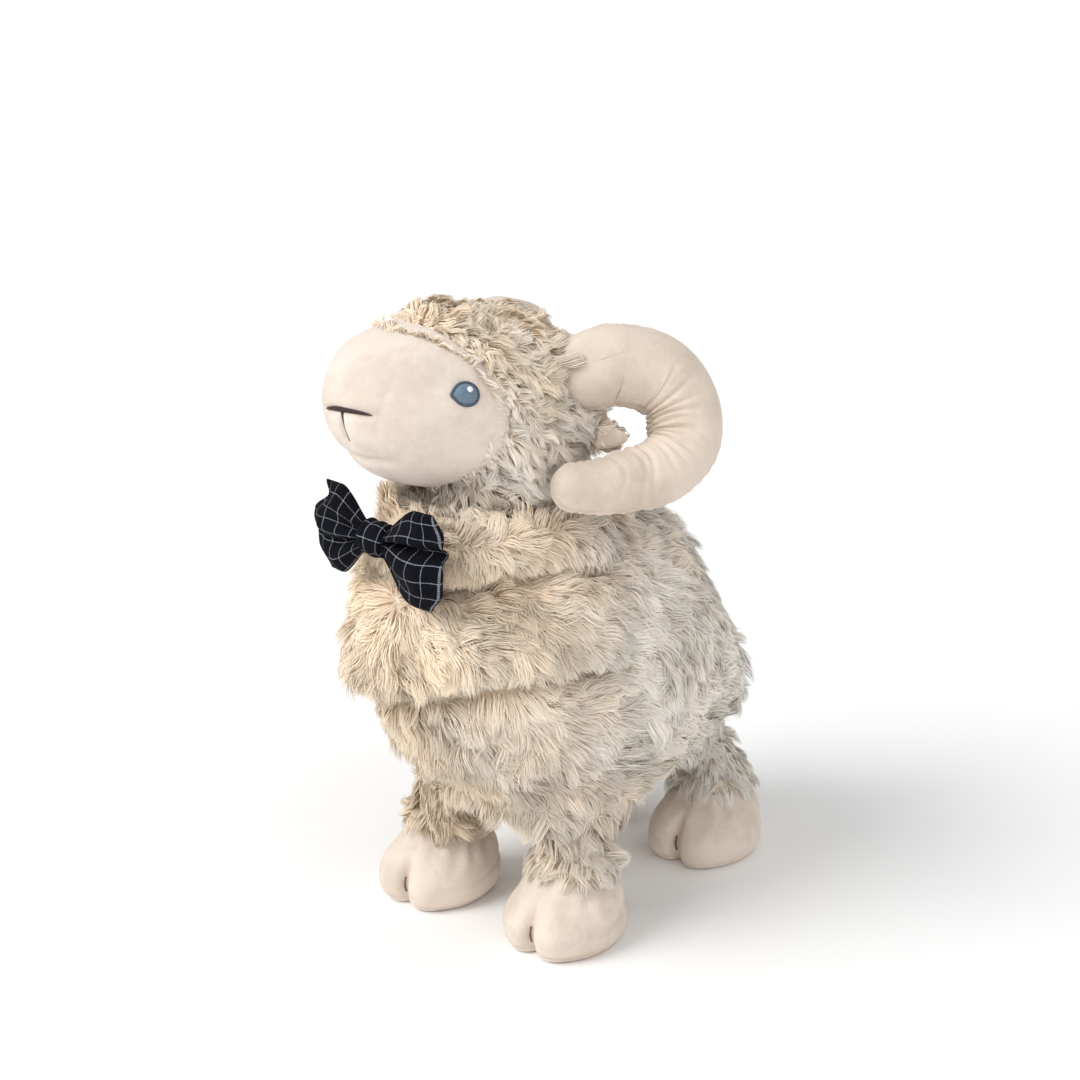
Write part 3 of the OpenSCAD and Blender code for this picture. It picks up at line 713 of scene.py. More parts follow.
def body_bed():
    wool = bpy.context.scene.ram_wool
    names = ["body_wool_left", "body_wool_right", "body_wadding", "belly_panel"]
    names += [f"{part}_{c}" for part in ("leg_wool", "leg_wadding") for c in CORNERS]
    points, quads = skin_of(names, 0.0034)
    points = relaxed(points, quads, 10)
    normals = normals_of(points, quads)
    off = np.linalg.norm(points - head_pivot, axis=1)
    outside = smooth(BOWL_R + 0.001, BOWL_R + 0.005, off)
    depth = wool.body_bed * outside
    leg = 1 - smooth(0.05, LEG_TOP, points[:, 2])
    depth = depth * (1 - 0.35 * leg)
    tail = np.linalg.norm(points - np.array(joints["tail_wag"]["pos_m"]), axis=1)
    depth = depth * (0.1 + 0.9 * smooth(0.008, 0.022, tail))
    # the stuffing fills the hollow where a leg meets the body
    hollow = np.sum((relaxed(points, quads, 150) - points) * normals, 1) * smooth(0.012, 0.024, off - BOWL_R)
    shoulder = smooth(0.04, 0.052, points[:, 2]) * (1 - smooth(0.085, 0.1, points[:, 2]))
    push = np.clip(hollow * 1.7, -0.009 * shoulder, 0.014) - depth + 0.006 * bell(tail, 0.013)
    for ends, above, c in crease_field(points):
        near = ends * outside
        push = push - c["depth"] * MM * bell(above, c["half"]) * near
        push = push + 4.6 * MM * bell(above - 15, 11) * near
    push = push + (1.3 * MM * drift(points, 0.05, 3) + 0.5 * MM * drift(points, 0.02, 4)) * outside
    return points + normals * push[:, None], quads


def body_groom(roots):
    """Where the body's pile lies: back and down from the chest, wandering, and down on the legs."""
    x = (roots[:, 0] - stance[0]) / MM
    flow = np.stack([0.75 * np.tanh(x / 40), np.full_like(x, 0.85), np.full_like(x, -0.62)], 1)
    for ends, above, _ in crease_field(roots):
        over = ends * bell(above - 9, 9)
        flow = flow * (1 - 0.7 * over[:, None]) + np.array([0, 0, -1.0]) * over[:, None]
    return flow


def body_warmth_with_painted_light(roots):
    """Warmer on the chest and the ram's right as painted warm light, cooler on its left flank and rump as painted
    shade, and warmer low on the body as painted warm shade.
    """
    x, y, z = ((roots - stance) / MM).T
    # painted warm light towards the chest and the ram's right, painted shade towards its left flank and rump
    side = -0.006 * x - 0.0042 * (y + 20)
    # painted warm shade low on the body
    low = 0.25 * (1 - smooth(60, 130, z))
    return 0.46 + side + 0.2 * drift(roots, 0.05, 11) + 0.0016 * (z - 120) + low


def body_tone_with_painted_shade(roots):
    """A little darker low on the body and legs: painted shade."""
    # painted shade: darker low on the body and legs
    return 0.12 - 0.36 * (1 - smooth(0.06, 0.15, roots[:, 2]))


class RAM_OT_body(bpy.types.Operator):
    """Body and legs: the stuffed backing and the long clumped pile"""

    bl_idname = "ram.body"
    bl_label = "Body and legs"

    def execute(self, context):
        wool = context.scene.ram_wool
        points, quads = body_bed()
        normals = normals_of(points, quads)
        bed("body_backing", points, quads, "torso", ["body_wool_left", "body_wool_right", "belly_panel"]
            + [f"leg_wool_{c}" for c in CORNERS], 0.8)
        rng = np.random.default_rng(20)
        off = np.linalg.norm(points - head_pivot, axis=1)
        low = 1 - smooth(0.066, 0.078, points[:, 2])
        shown = (off > BOWL_R + 0.0035).astype(float)
        facing = smooth(-0.98, -0.6, normals[:, 2]) * 0.6 + 0.4

        weight = shown * (1 - low) * facing
        roots, n = scattered(points, quads, normals, wool.body_strands, weight, rng)
        keep = np.ones(len(roots), bool)
        size = np.ones(len(roots))
        lift = np.full(len(roots), 27.0)
        for ends, above, c in crease_field(roots):
            near = ends * bell(above, c["half"] * 0.55)
            keep &= near < 0.5
            size *= 1 - 0.42 * ends * bell(above - 5, 8)
            lift += 8 * ends * bell(above - 10, 7)
        rim = 1 - smooth(BOWL_R + 0.005, BOWL_R + 0.017, np.linalg.norm(roots - head_pivot, axis=1))
        lift += 20 * rim
        size *= 1 - 0.2 * rim
        size *= 1 + 0.12 * drift(roots, 0.035, 5)
        roots, n, size, lift, rim = roots[keep], n[keep], size[keep], lift[keep], rim[keep]
        groom = body_groom(roots)
        groom = groom + 3.2 * rim[:, None] * unit(head_pivot - roots)
        groom = unit(groom - n * np.sum(groom * n, 1)[:, None])
        wander = 34 * drift(roots, 0.075, 6) + 24 * drift(roots, 0.028, 7)
        groom = turned(groom, n, np.radians(wander))
        order = np.argsort(np.arctan2(roots[:, 1] - stance[1], roots[:, 0] - stance[0]), kind="stable")
        pile = Pile(wool.body_length, droop=0.3, clump=34, pull=0.62, curl=0.085, jitter=20)
        # the warmth and tone given here carry painted warm light and painted shade
        grow("body_pile", roots[order], n[order], groom[order], pile, size[order],
             body_warmth_with_painted_light(roots[order]), 21, "torso", parts=7, lift=lift[order],
             tone=body_tone_with_painted_shade(roots[order]))

        height = points[:, 2]
        legs = low * smooth(0.026, 0.031, height) * (0.35 + 0.65 * smooth(-0.95, -0.6, normals[:, 2]))
        roots, n = scattered(points, quads, normals, wool.leg_strands, legs, rng)
        groom = np.tile([0.0, 0.0, -1.0], (len(roots), 1)) + 0.3 * n
        wander = 22 * drift(roots, 0.03, 8)
        groom = turned(unit(groom - n * np.sum(groom * n, 1)[:, None]), n, np.radians(wander))
        pile = Pile(wool.leg_length, lift=30, droop=0.25, clump=30, pull=0.75, curl=0.08)
        size = 1 - 0.32 * (1 - smooth(0.03, 0.05, roots[:, 2]))
        # the leg pile's warmth and tone carry painted warm light and painted shade
        grow("leg_pile", roots, n, groom, pile, size, body_warmth_with_painted_light(roots), 22, "torso", tone=body_tone_with_painted_shade(roots))
        return {"FINISHED"}


# ---------------------------------------------------------------- head

BALL_R = 53.0
NOSE_REACH = 79.0
FACE_W, FACE_H, FACE_MID = 96.0, 80.0, 4.0
TAPER = 3.1


def wool_edge(a):
    """How far ahead the wool's edge runs round the face, highest over the brow."""
    s = np.sin(a)
    return 20 + 27 * np.maximum(s, 0) ** 2 + 12 * np.minimum(s, 0) ** 2


def wool_ahead(p):
    """How far points of the head lie ahead of the wool's edge, and how far the brow's wool comes over it."""
    a = np.arctan2(p[:, 2] - 1, p[:, 0])
    return -p[:, 1] - wool_edge(a), 4.5 * np.maximum(np.sin(a), 0) ** 2


def face_at(x, z):
    """The face's surface and its outward direction over a place seen from the front, in millimetres."""
    q = np.clip(1 - (x / (FACE_W / 2)) ** 2 - ((z - FACE_MID) / (FACE_H / 2)) ** 2, 1e-6, 1)
    y = -NOSE_REACH * q ** (1 / TAPER)
    out = np.stack([2 * x / (FACE_W / 2) ** 2, -TAPER * (-y / NOSE_REACH) ** (TAPER - 1) / NOSE_REACH,
                    2 * (z - FACE_MID) / (FACE_H / 2) ** 2], -1)
    return np.stack([x, y, z], -1), unit(out)


NOSE_HALF, NOSE_X, NOSE_Z = 17.0, 4.0, 0.6
MOUTH_TOP, MOUTH_END = -0.8, -13.5
EYE_X, EYE_Z, EYE_R, EYE_RISE = 43.0, 15.0, 6.1, 1.9


def nose_line(x):
    return NOSE_Z + 0.09 * (x - NOSE_X) - (x - NOSE_X) ** 2 / 240


def face_relief(x, z):
    """Height of the face's folds and stuffing over its plain form, in millimetres."""
    width = 1 - smooth(NOSE_HALF - 4, NOSE_HALF + 5, np.abs(x - NOSE_X))
    above = z - nose_line(x)
    relief = -1.7 * bell(above, 1.5) * width + 1.25 * bell(above - 4.2, 3.0) * width
    down = (1 - smooth(MOUTH_TOP - 3, MOUTH_TOP + 2, z)) * smooth(MOUTH_END - 5, MOUTH_END + 3, z)
    relief += -1.4 * bell(x - NOSE_X, 1.4) * down + 1.1 * bell(np.abs(x - NOSE_X) - 8, 6) * down
    chin = z + 22 - x * x / 160
    relief += (-1.7 * bell(chin, 1.7) + 0.6 * bell(chin + 5, 4)) * (1 - smooth(16, 30, np.abs(x)))
    for side in (-1, 1):
        fold = x * side - 24 - 1.5 * np.sin(z / 7)
        relief += -0.45 * bell(fold, 1.7) * smooth(-14, -4, z) * (1 - smooth(12, 24, z))
        relief += -1.2 * bell(np.hypot(x * side - EYE_X + 1, (z - EYE_Z) * 0.9), 10)
    spots = np.stack([x, z * 1.1, x * 0], -1)
    return relief + 0.42 * drift(spots, 26, 31) + 0.16 * drift(spots, 11, 32)


def face_grid():
    rows, cols = 96, 160
    a = np.linspace(0, 2 * math.pi, cols, endpoint=False)
    ends = np.arccos(((wool_edge(a) - 6) / NOSE_REACH) ** (TAPER / 2))
    tilt = np.linspace(0.012, 1, rows)[:, None] * ends
    s = np.sin(tilt)
    x, z = FACE_W / 2 * s * np.cos(a), FACE_MID + FACE_H / 2 * s * np.sin(a)
    p, out = face_at(x, z)
    p[..., 1] = -NOSE_REACH * np.cos(tilt) ** (2 / TAPER)
    tuck = smooth(0.93, 1.0, np.linspace(0, 1, rows))[:, None]
    return p + out * (face_relief(x, z) * (1 - tuck) - 2.2 * tuck)[..., None]


class RAM_OT_face(bpy.types.Operator):
    """Face: smooth plush over a stuffed muzzle, with its folds"""

    bl_idname = "ram.face"
    bl_label = "Face"

    def execute(self, context):
        plush = material_named("face_plush", plush_material, "face_plush", 30.0, FACE_TINT)
        face = surface("face", from_head(face_grid()), plush, ends=False)
        b = bmesh.new()
        b.from_mesh(face.data)
        rim = [e for e in b.edges if e.is_boundary and e.verts[0].co.y < head_pivot[1] - 0.07]
        bmesh.ops.holes_fill(b, edges=rim)
        bmesh.ops.recalc_face_normals(b, faces=b.faces)
        b.to_mesh(face.data)
        b.free()
        face.data.shade_smooth()
        shell = face.modifiers.new("Cloth thickness", "SOLIDIFY")
        shell.thickness = 0.0016
        shell.offset = -1
        belongs(face, "head", "short_plush", "face_panel", "chin_panel", fill=0.8)
        return {"FINISHED"}


class RAM_OT_stitches(bpy.types.Operator):
    """Nose and mouth: lines of thick brown satin stitch, sunk in the plush"""

    bl_idname = "ram.stitches"
    bl_label = "Nose and mouth"

    def execute(self, context):
        thread = context.scene.ram_plush.thread
        material = material_named("brown_thread", stitched_material, "brown_thread", thread,
                                  tuple(min(1, c * 3) for c in thread))
        t = np.linspace(-1, 1, 180)
        x = NOSE_X + NOSE_HALF * t
        path, out = face_at(x, nose_line(x) + 0.2)
        path = path - out * 0.6
        radius = 0.95 * (1 - np.abs(t) ** 2.2) ** 0.8 + 0.12
        self.piece("nose_line", path, out, radius, material, "nose_stitch")
        t = np.linspace(0, 1, 110)
        x = NOSE_X + 0.9 * np.sin(t * 2.2)
        path, out = face_at(x, mix(MOUTH_TOP + 0.4, MOUTH_END, t))
        path = path - out * 0.55
        self.piece("mouth_line", path, out, mix(0.75, 0.3, t**1.4), material, "mouth_stitch")
        return {"FINISHED"}

    def piece(self, name, path, out, radius, material, node):
        stitches = 1 + 0.14 * np.sin(np.arange(len(path)) * 1.9)
        grid = tube(path, radius * stitches, 12, 0.75, out)
        obj = surface(name, from_head(grid), material)
        belongs(obj, "head", "brown_thread", node)


class RAM_OT_eyes(bpy.types.Operator):
    """Eyes: domes of blue-grey satin stitch with a dark ring and a white glint"""

    bl_idname = "ram.eyes"
    bl_label = "Eyes"

    def execute(self, context):
        plush = context.scene.ram_plush
        blue = material_named("eye_blue", stitched_material, "eye_blue", plush.eye,
                              tuple(min(1, c * 1.9) for c in plush.eye), 0.35)
        ring = material_named("eye_ring", stitched_material, "eye_ring", plush.eye_ring,
                              tuple(min(1, c * 2.2) for c in plush.eye_ring), 0.4)
        white = material_named("eye_white", stitched_material, "eye_white", plush.glint,
                               (0.8, 0.83, 0.86), 0.4)
        for name, side in SIDES.items():
            belongs(self.dome(f"eye_ball_{name}", side, blue), "head", "eye_blue", f"eye_{name}")
            self.ring(f"eye_ring_{name}", side, ring)
            belongs(self.spot(f"eye_shine_{name}", side, white), "head", "eye_white", f"eye_glint_{name}")
        return {"FINISHED"}

    def outline(self, a):
        """The eye's radius at an angle: round, with a point at its inner corner."""
        inner = np.angle(np.exp(1j * (a - math.radians(188))))
        return EYE_R * (1 + 0.17 * bell(inner, 0.3))

    def over_face(self, side, r, a, out_by):
        """A place round the eye's middle on the face, that far out from it."""
        middle, out = face_at(np.array(EYE_X), np.array(EYE_Z))
        across = unit(np.cross([0, 0, 1.0], out))
        across = across if across[0] > 0 else -across
        upward = np.cross(out, across)
        upward = upward if upward[2] > 0 else -upward
        flat = middle + across * (r * np.cos(a))[..., None] + upward * (0.88 * r * np.sin(a))[..., None]
        # the embroidery follows the round of the face
        fall = 0.012 * (r * np.cos(a)) ** 2 + 0.004 * (r * np.sin(a)) ** 2
        p = flat + out * (out_by - fall - 0.75)[..., None]
        return from_head(p * np.array([side, 1, 1]))

    def dome(self, name, side, material):
        rows, cols = 26, 144
        a = np.linspace(0, 2 * math.pi, cols, endpoint=False)[None]
        s = np.linspace(1, 0.02, rows)[:, None]
        r = s * self.outline(a) * 0.9
        out = EYE_RISE * (1 - s**2.2) ** 0.5 + 0.05 * np.sin(r * np.sin(a) * 12 + 0.8 * np.sin(r)) + 0.25
        foot = self.over_face(side, r[:1], a, np.full_like(r[:1], -0.9))
        grid = np.vstack([foot, self.over_face(side, r, a, out)])
        return surface(name, grid, material)

    def ring(self, name, side, material):
        n = 220
        a = np.linspace(0, 2 * math.pi, n, endpoint=False)
        b = np.linspace(0, 2 * math.pi, 12, endpoint=False)[None]
        size = 0.62 + 0.08 * np.sin(np.arange(n) * 2.4)[:, None]
        r = self.outline(a)[:, None] * 0.97 + size * np.cos(b)
        out = 0.55 + size * 0.75 * np.sin(b)
        grid = self.over_face(side, r, np.broadcast_to(a[:, None], r.shape), out)
        grid = np.vstack([grid, grid[:1]])
        obj = surface(name, grid, material, ends=False)
        belongs(obj, "head", "eye_blue")

    def spot(self, name, side, material):
        rows, cols = 10, 40
        a = np.linspace(0, 2 * math.pi, cols, endpoint=False)[None]
        s = np.linspace(1, 0.05, rows)[:, None]
        x = s * 1.35 * np.cos(a) + 1.2 * side
        y = s * 1.5 * np.sin(a) + 2.2
        r, turn = np.hypot(x, y), np.arctan2(y, x)
        out = 2.15 + 0.5 * (1 - s**2) ** 0.5 - 0.022 * r**2
        foot = self.over_face(side, r[:1], turn[:1], out[:1] - 0.8)
        return surface(name, np.vstack([foot, self.over_face(side, r, turn, out)]), material)


class RAM_OT_head(bpy.types.Operator):
    """Head: the stuffed backing and its short curly pile"""

    bl_idname = "ram.head"
    bl_label = "Head wool"

    def execute(self, context):
        wool = context.scene.ram_wool
        nodes = ["head_wool_left", "head_wool_right", "head_wadding", "face_panel", "chin_panel"]
        points, quads = skin_of(nodes, 0.003)
        points = relaxed(points, quads, 6)
        normals = normals_of(points, quads)
        local = to_head(points)
        push = -wool.head_bed + 0.6 * MM * drift(points, 0.03, 41)
        under_face = smooth(-4, 4, -local[:, 1] - wool_edge(np.arctan2(local[:, 2], local[:, 0])))
        push = push - 0.0015 * under_face
        points = points + normals * push[:, None]
        bed("head_backing", points, quads, "head", ["head_wool_left", "head_wool_right"], 0.8)

        normals = normals_of(points, quads)
        local = to_head(points)
        ahead, brow = wool_ahead(local)
        weight = 1 - smooth(0.5, 3.5, ahead - brow)
        weight *= 0.25 + 0.75 * smooth(-46, -38, local[:, 2])
        rng = np.random.default_rng(40)
        roots, n = scattered(points, quads, normals, wool.head_strands, weight, rng)
        local = to_head(roots)
        ahead, brow = wool_ahead(local)
        roots = roots + n * ((wool.head_bed + 0.001) * smooth(-1, 4, ahead))[:, None]
        edge = smooth(-16, 0, ahead - brow)
        # back from the face, out to the sides and down below the horns
        down = -0.35 - 0.012 * (30 - local[:, 2])
        flow = np.stack([0.5 * np.tanh(local[:, 0] / 20), 0.9 - 0.3 * edge, down], 1)
        flow = flow @ head_axes
        flow = unit(flow - n * np.sum(flow * n, 1)[:, None])
        flow = turned(flow, n, np.radians(36 * drift(roots, 0.032, 42) + 22 * drift(roots, 0.013, 43)))
        lift = 40 + 14 * edge + 6 * drift(roots, 0.02, 44)
        size = (1 - 0.42 * edge) * (1 + 0.14 * drift(roots, 0.02, 45))
        low = 1 - smooth(-32, -18, local[:, 2])
        lift = lift + 12 * low
        size *= 1 + 0.5 * low
        # a tuft stands round the root of each ear
        for name in SIDES:
            ear = np.array(joints[f"ear_{name}_flop"]["pos_m"])
            leaf = np.mean([v.co for v in NODES[f"ear_wool_{name}"].data.vertices], axis=0)
            near = bell(np.linalg.norm(roots - ear, axis=1), 0.014)
            flow = flow + 4 * near[:, None] * unit(leaf - ear)
            lift = lift + 22 * near
            size = size * (1 + 0.45 * near)
            horn = horn_to_head(np.array([0, -12.0, CURL_R])) * np.array([SIDES[name], 1, 1])
            far = np.linalg.norm(local - unit(horn) * BALL_R, axis=1)
            near = bell(far - 20, 8)
            lift = lift + 16 * near
            size = size * (1 + 0.4 * near)
        # painted warm light on the ram's right and painted shade on its left; also warmer higher up and low on the
        # head
        warmth = 0.5 + 0.0075 * (local[:, 2] - 5) - 0.004 * local[:, 0] + 0.14 * drift(roots, 0.03, 46)
        warmth = warmth + 0.3 * (1 - smooth(-32, -18, local[:, 2]))
        pile = Pile(wool.head_length, droop=0.42, clump=26, pull=0.8, curl=0.15, turns=1.0, clump_jitter=42,
                    jitter=14, uneven=0.3)
        grow("head_pile", roots, n, flow, pile, size, warmth, 47, "head", parts=2, lift=lift,
             tone=0.24)
        return {"FINISHED"}


class RAM_OT_ears(bpy.types.Operator):
    """Ears: leaves of wool with a smooth lining"""

    bl_idname = "ram.ears"
    bl_label = "Ears"

    def execute(self, context):
        wool = context.scene.ram_wool
        for name, side in SIDES.items():
            root = np.array(joints[f"ear_{name}_flop"]["pos_m"])
            points, quads = skin_of([f"ear_wool_{name}"], 0.0016)
            points = relaxed(points, quads, 4)
            normals = normals_of(points, quads)
            points = points - normals * 0.0016
            bed(f"ear_backing_{name}", points, quads, f"ear_{name}", [f"ear_wool_{name}"], 0.4)
            middle = points.mean(0)
            along = unit(middle - root)
            lining = NODES[f"ear_lining_{name}"].data
            spot = np.mean([v.co for v in lining.vertices], axis=0)
            front = unit(spot - middle)
            rng = np.random.default_rng(50 + side)
            ahead = (points - middle) @ front
            weight = 1 - 0.92 * smooth(0.0005, 0.0022, ahead)
            roots, n = scattered(points, quads, normals, wool.ear_strands, weight, rng)
            pile = Pile(wool.ear_length, lift=26, droop=0.2, clump=22, pull=0.8, curl=0.12, turns=0.9)
            warmth = np.full(len(roots), 0.5)
            size = 1.15 - 0.5 * smooth(0, 0.02, (roots - root) @ along)
            grow(f"ear_pile_{name}", roots, n, np.tile(along, (len(roots), 1)), pile, size, warmth, 52 + side,
                 f"ear_{name}")
            self.lining(name)
        return {"FINISHED"}

    def lining(self, name):
        points, quads = skin_of([f"ear_lining_{name}"], 0.0005)
        points = relaxed(points, quads, 14)
        normals = normals_of(points, quads)
        points = points + normals * (0.0003 + 0.0003 * drift(points, 0.009, 55))[:, None]
        mesh = make_mesh(f"ear_inner_{name}", points, quads)
        plush = material_named("ear_plush", plush_material, "ear_plush", 90.0, HORN_TINT)
        obj = make_object(f"ear_inner_{name}", mesh, plush)
        belongs(obj, f"ear_{name}", "short_plush", f"ear_lining_{name}")


class RAM_OT_tail(bpy.types.Operator):
    """Tail: a short tuft of wool"""

    bl_idname = "ram.tail"
    bl_label = "Tail"

    def execute(self, context):
        wool = context.scene.ram_wool
        points, quads = skin_of(["tail_wool"], 0.0016)
        normals = normals_of(points, quads)
        points = points - normals * 0.0035
        bed("tail_backing", points, quads, "tail", ["tail_wool"], 0.5)
        rng = np.random.default_rng(60)
        roots, n = scattered(points, quads, normals, wool.tail_strands, np.ones(len(points)), rng)
        flow = np.tile([0.0, 0.35, -1.0], (len(roots), 1))
        pile = Pile(wool.leg_length, lift=27, droop=0.2, clump=26, pull=0.76, curl=0.1)
        # the tail's warmth carries painted warm light and painted shade
        grow("tail_pile", roots, n, flow, pile, np.ones(len(roots)), body_warmth_with_painted_light(roots), 61, "tail")
        return {"FINISHED"}


# ---------------------------------------------------------------- horns

CURL_R = 28.0
HORN_ROOT_D, HORN_TIP_D = 37.0, 23.0
HORN_SPLAY, HORN_LEAN, HEAD_TILT = 14.0, 30.0, 9.0
HORN_AT = np.array([BALL_R + 6, BALL_R - 10, 6])


def axis_turn(angle, p, axis):
    """Points turned about one of the axes: 0 for sideways, 1 for back, 2 for up."""
    c, s = math.cos(math.radians(angle)), math.sin(math.radians(angle))
    x, y, z = p[..., 0], p[..., 1], p[..., 2]
    if axis == 0:
        return np.stack([x, y * c - z * s, y * s + z * c], -1)
    if axis == 1:
        return np.stack([x * c + z * s, y, z * c - x * s], -1)
    return np.stack([x * c - y * s, x * s + y * c, z], -1)


def horn_to_head(p):
    p = axis_turn(-HORN_SPLAY, p, 2)
    p = axis_turn(-HORN_LEAN, p, 1)
    return HORN_AT + axis_turn(HEAD_TILT, p, 0)


def horn_stations():
    """The horn's middle line and radius in its own plane: backward, up, radius."""
    def round_at(angle, taper):
        a = math.radians(angle)
        return [CURL_R * math.cos(a), CURL_R * math.sin(a), mix(HORN_ROOT_D, HORN_TIP_D, taper) / 2]
    return [[-3, CURL_R, HORN_ROOT_D / 2], [0, CURL_R, HORN_ROOT_D / 2],
            round_at(42, 0.16), round_at(0, 0.42), round_at(-42, 0.6),
            round_at(-82, 0.75), [-CURL_R * 0.72, -CURL_R * 0.96, HORN_TIP_D / 2 + 0.5],
            [-CURL_R * 1.38, -CURL_R * 0.83, HORN_TIP_D / 2 - 1.5]]


# wrinkles across the inside of the curl: place along the horn from 0 to 1, and depth
WRINKLES = ((0.314, 0.35), (0.374, 0.55), (0.426, 0.45), (0.473, 0.8), (0.511, 0.6), (0.55, 1.0),
            (0.589, 0.55), (0.627, 0.85), (0.666, 0.45), (0.704, 0.6), (0.773, 0.75), (0.799, 0.7),
            (0.863, 0.35))


def horn_grid(side):
    """The horn's surface with its seams and wrinkles, in the head's millimetres, for the ram's left."""
    plush = bpy.context.scene.ram_plush
    root, rows, cols = 20, 190, 88
    keys = resampled(horn_stations(), rows)
    tip = np.linspace(0, 1, 12)[1:] * math.pi / 2
    end, ahead = keys[-1], unit(keys[-1, :2] - keys[-3, :2])
    cap = np.stack([end[0] + ahead[0] * end[2] * np.sin(tip), end[1] + ahead[1] * end[2] * np.sin(tip),
                    np.maximum(end[2] * np.cos(tip), 0.15)], 1)
    start = np.stack([np.linspace(-15, -3, root, endpoint=False), np.full(root, CURL_R),
                      np.full(root, HORN_ROOT_D / 2)], 1)
    line = np.vstack([start, keys, cap])
    tangent = unit(np.gradient(line[:, :2], axis=0))
    a = np.linspace(0, 2 * math.pi, cols, endpoint=False)
    along = np.clip((np.arange(len(line)) - root) / rows, 0, 1)[:, None]
    # the outer side of the curl is at 0 degrees and its inner side at 180
    inner = -np.cos(a)[None]
    radius = np.repeat(line[:, 2:3], cols, axis=1)
    # stuffing bulges the tube into the hollow of the curl
    bulge = smooth(0.1, 0.35, along) * (1 - 0.5 * smooth(0.8, 1.0, along))
    radius = radius + 3.6 * (0.5 + 0.5 * inner) ** 1.5 * bulge
    depth = plush.wrinkle_depth / MM
    twist = 0.012 * np.sin(2 * a + side)
    for k, (place, strength) in enumerate(WRINKLES):
        where = along - place - twist - 0.006 * np.sin(3 * a + k)
        reach = smooth(-0.75, 0.7, inner) * (0.5 + 0.5 * inner * (1 if k % 3 else 0.7))
        reach = np.maximum(reach, 0.5) if place > 0.75 else reach
        radius = radius - depth * strength * bell(where, 0.0085) * reach
        radius = radius + 0.3 * depth * strength * bell(np.abs(where) - 0.021, 0.011) * reach
    places = np.stack(np.broadcast_arrays(along * 150, 14 * np.cos(a), 14 * np.sin(a)), -1)
    radius = radius + 0.45 * drift(places, 24, 70 + side)
    seam = plush.seam_depth / MM
    for place in (0, math.pi):
        off = np.angle(np.exp(1j * (a - place)))[None] * line[:, 2:3]
        radius = radius - seam * bell(off, 1.25) + 0.22 * seam * bell(np.abs(off) - 3.2, 1.8)
        radius = radius + 0.22 * np.sin(along * 190) * bell(np.abs(off) - 2.6, 2.4)
    radius = np.where(line[:, 2:3] < 3, line[:, 2:3], radius)
    p = np.stack([radius * np.sin(a), line[:, 0:1] - radius * np.cos(a) * tangent[:, 1:2],
                  line[:, 1:2] + radius * np.cos(a) * tangent[:, 0:1]], -1)
    head = horn_to_head(p)
    # the root stops just under the wool on the round of the head
    base = head[root]
    step = base - horn_to_head(p[root] + np.array([0, 1.0, 0]))
    front = base + step * 15
    inward = unit(front) * (BALL_R - 9) - front
    for i in range(root):
        turn = (1 - i / root) * math.pi / 2
        head[i] = base + step * 15 * math.sin(turn) + inward * (1 - math.cos(turn))
    return head * np.array([side, 1, 1])


class RAM_OT_horns(bpy.types.Operator):
    """Horns: stuffed curls of two plush panels each, with seams and wrinkles"""

    bl_idname = "ram.horns"
    bl_label = "Horns"

    def execute(self, context):
        material = material_named("horn_plush", plush_material, "horn_plush", 34.0, HORN_TINT)
        for name, side in SIDES.items():
            horn = surface(f"horn_{name}", from_head(horn_grid(side)), material)
            belongs(horn, f"horn_{name}", "short_plush", f"horn_outer_{name}", f"horn_inner_{name}", fill=0.8)
        return {"FINISHED"}


# ---------------------------------------------------------------- hooves

HOOF_W, HOOF_L, HOOF_H = 58.0, 66.0, 32.0
LEG_SETBACK, LEG_D = 6.0, 52.0
# rounded edge of a sole: share of its width, and height
SOLE_EDGE = ((0.35, 0.02), (0.94, 0.02), (0.985, 0.4), (1.0, 1.0), (0.985, 1.6), (0.94, 1.95), (0.35, 1.98))


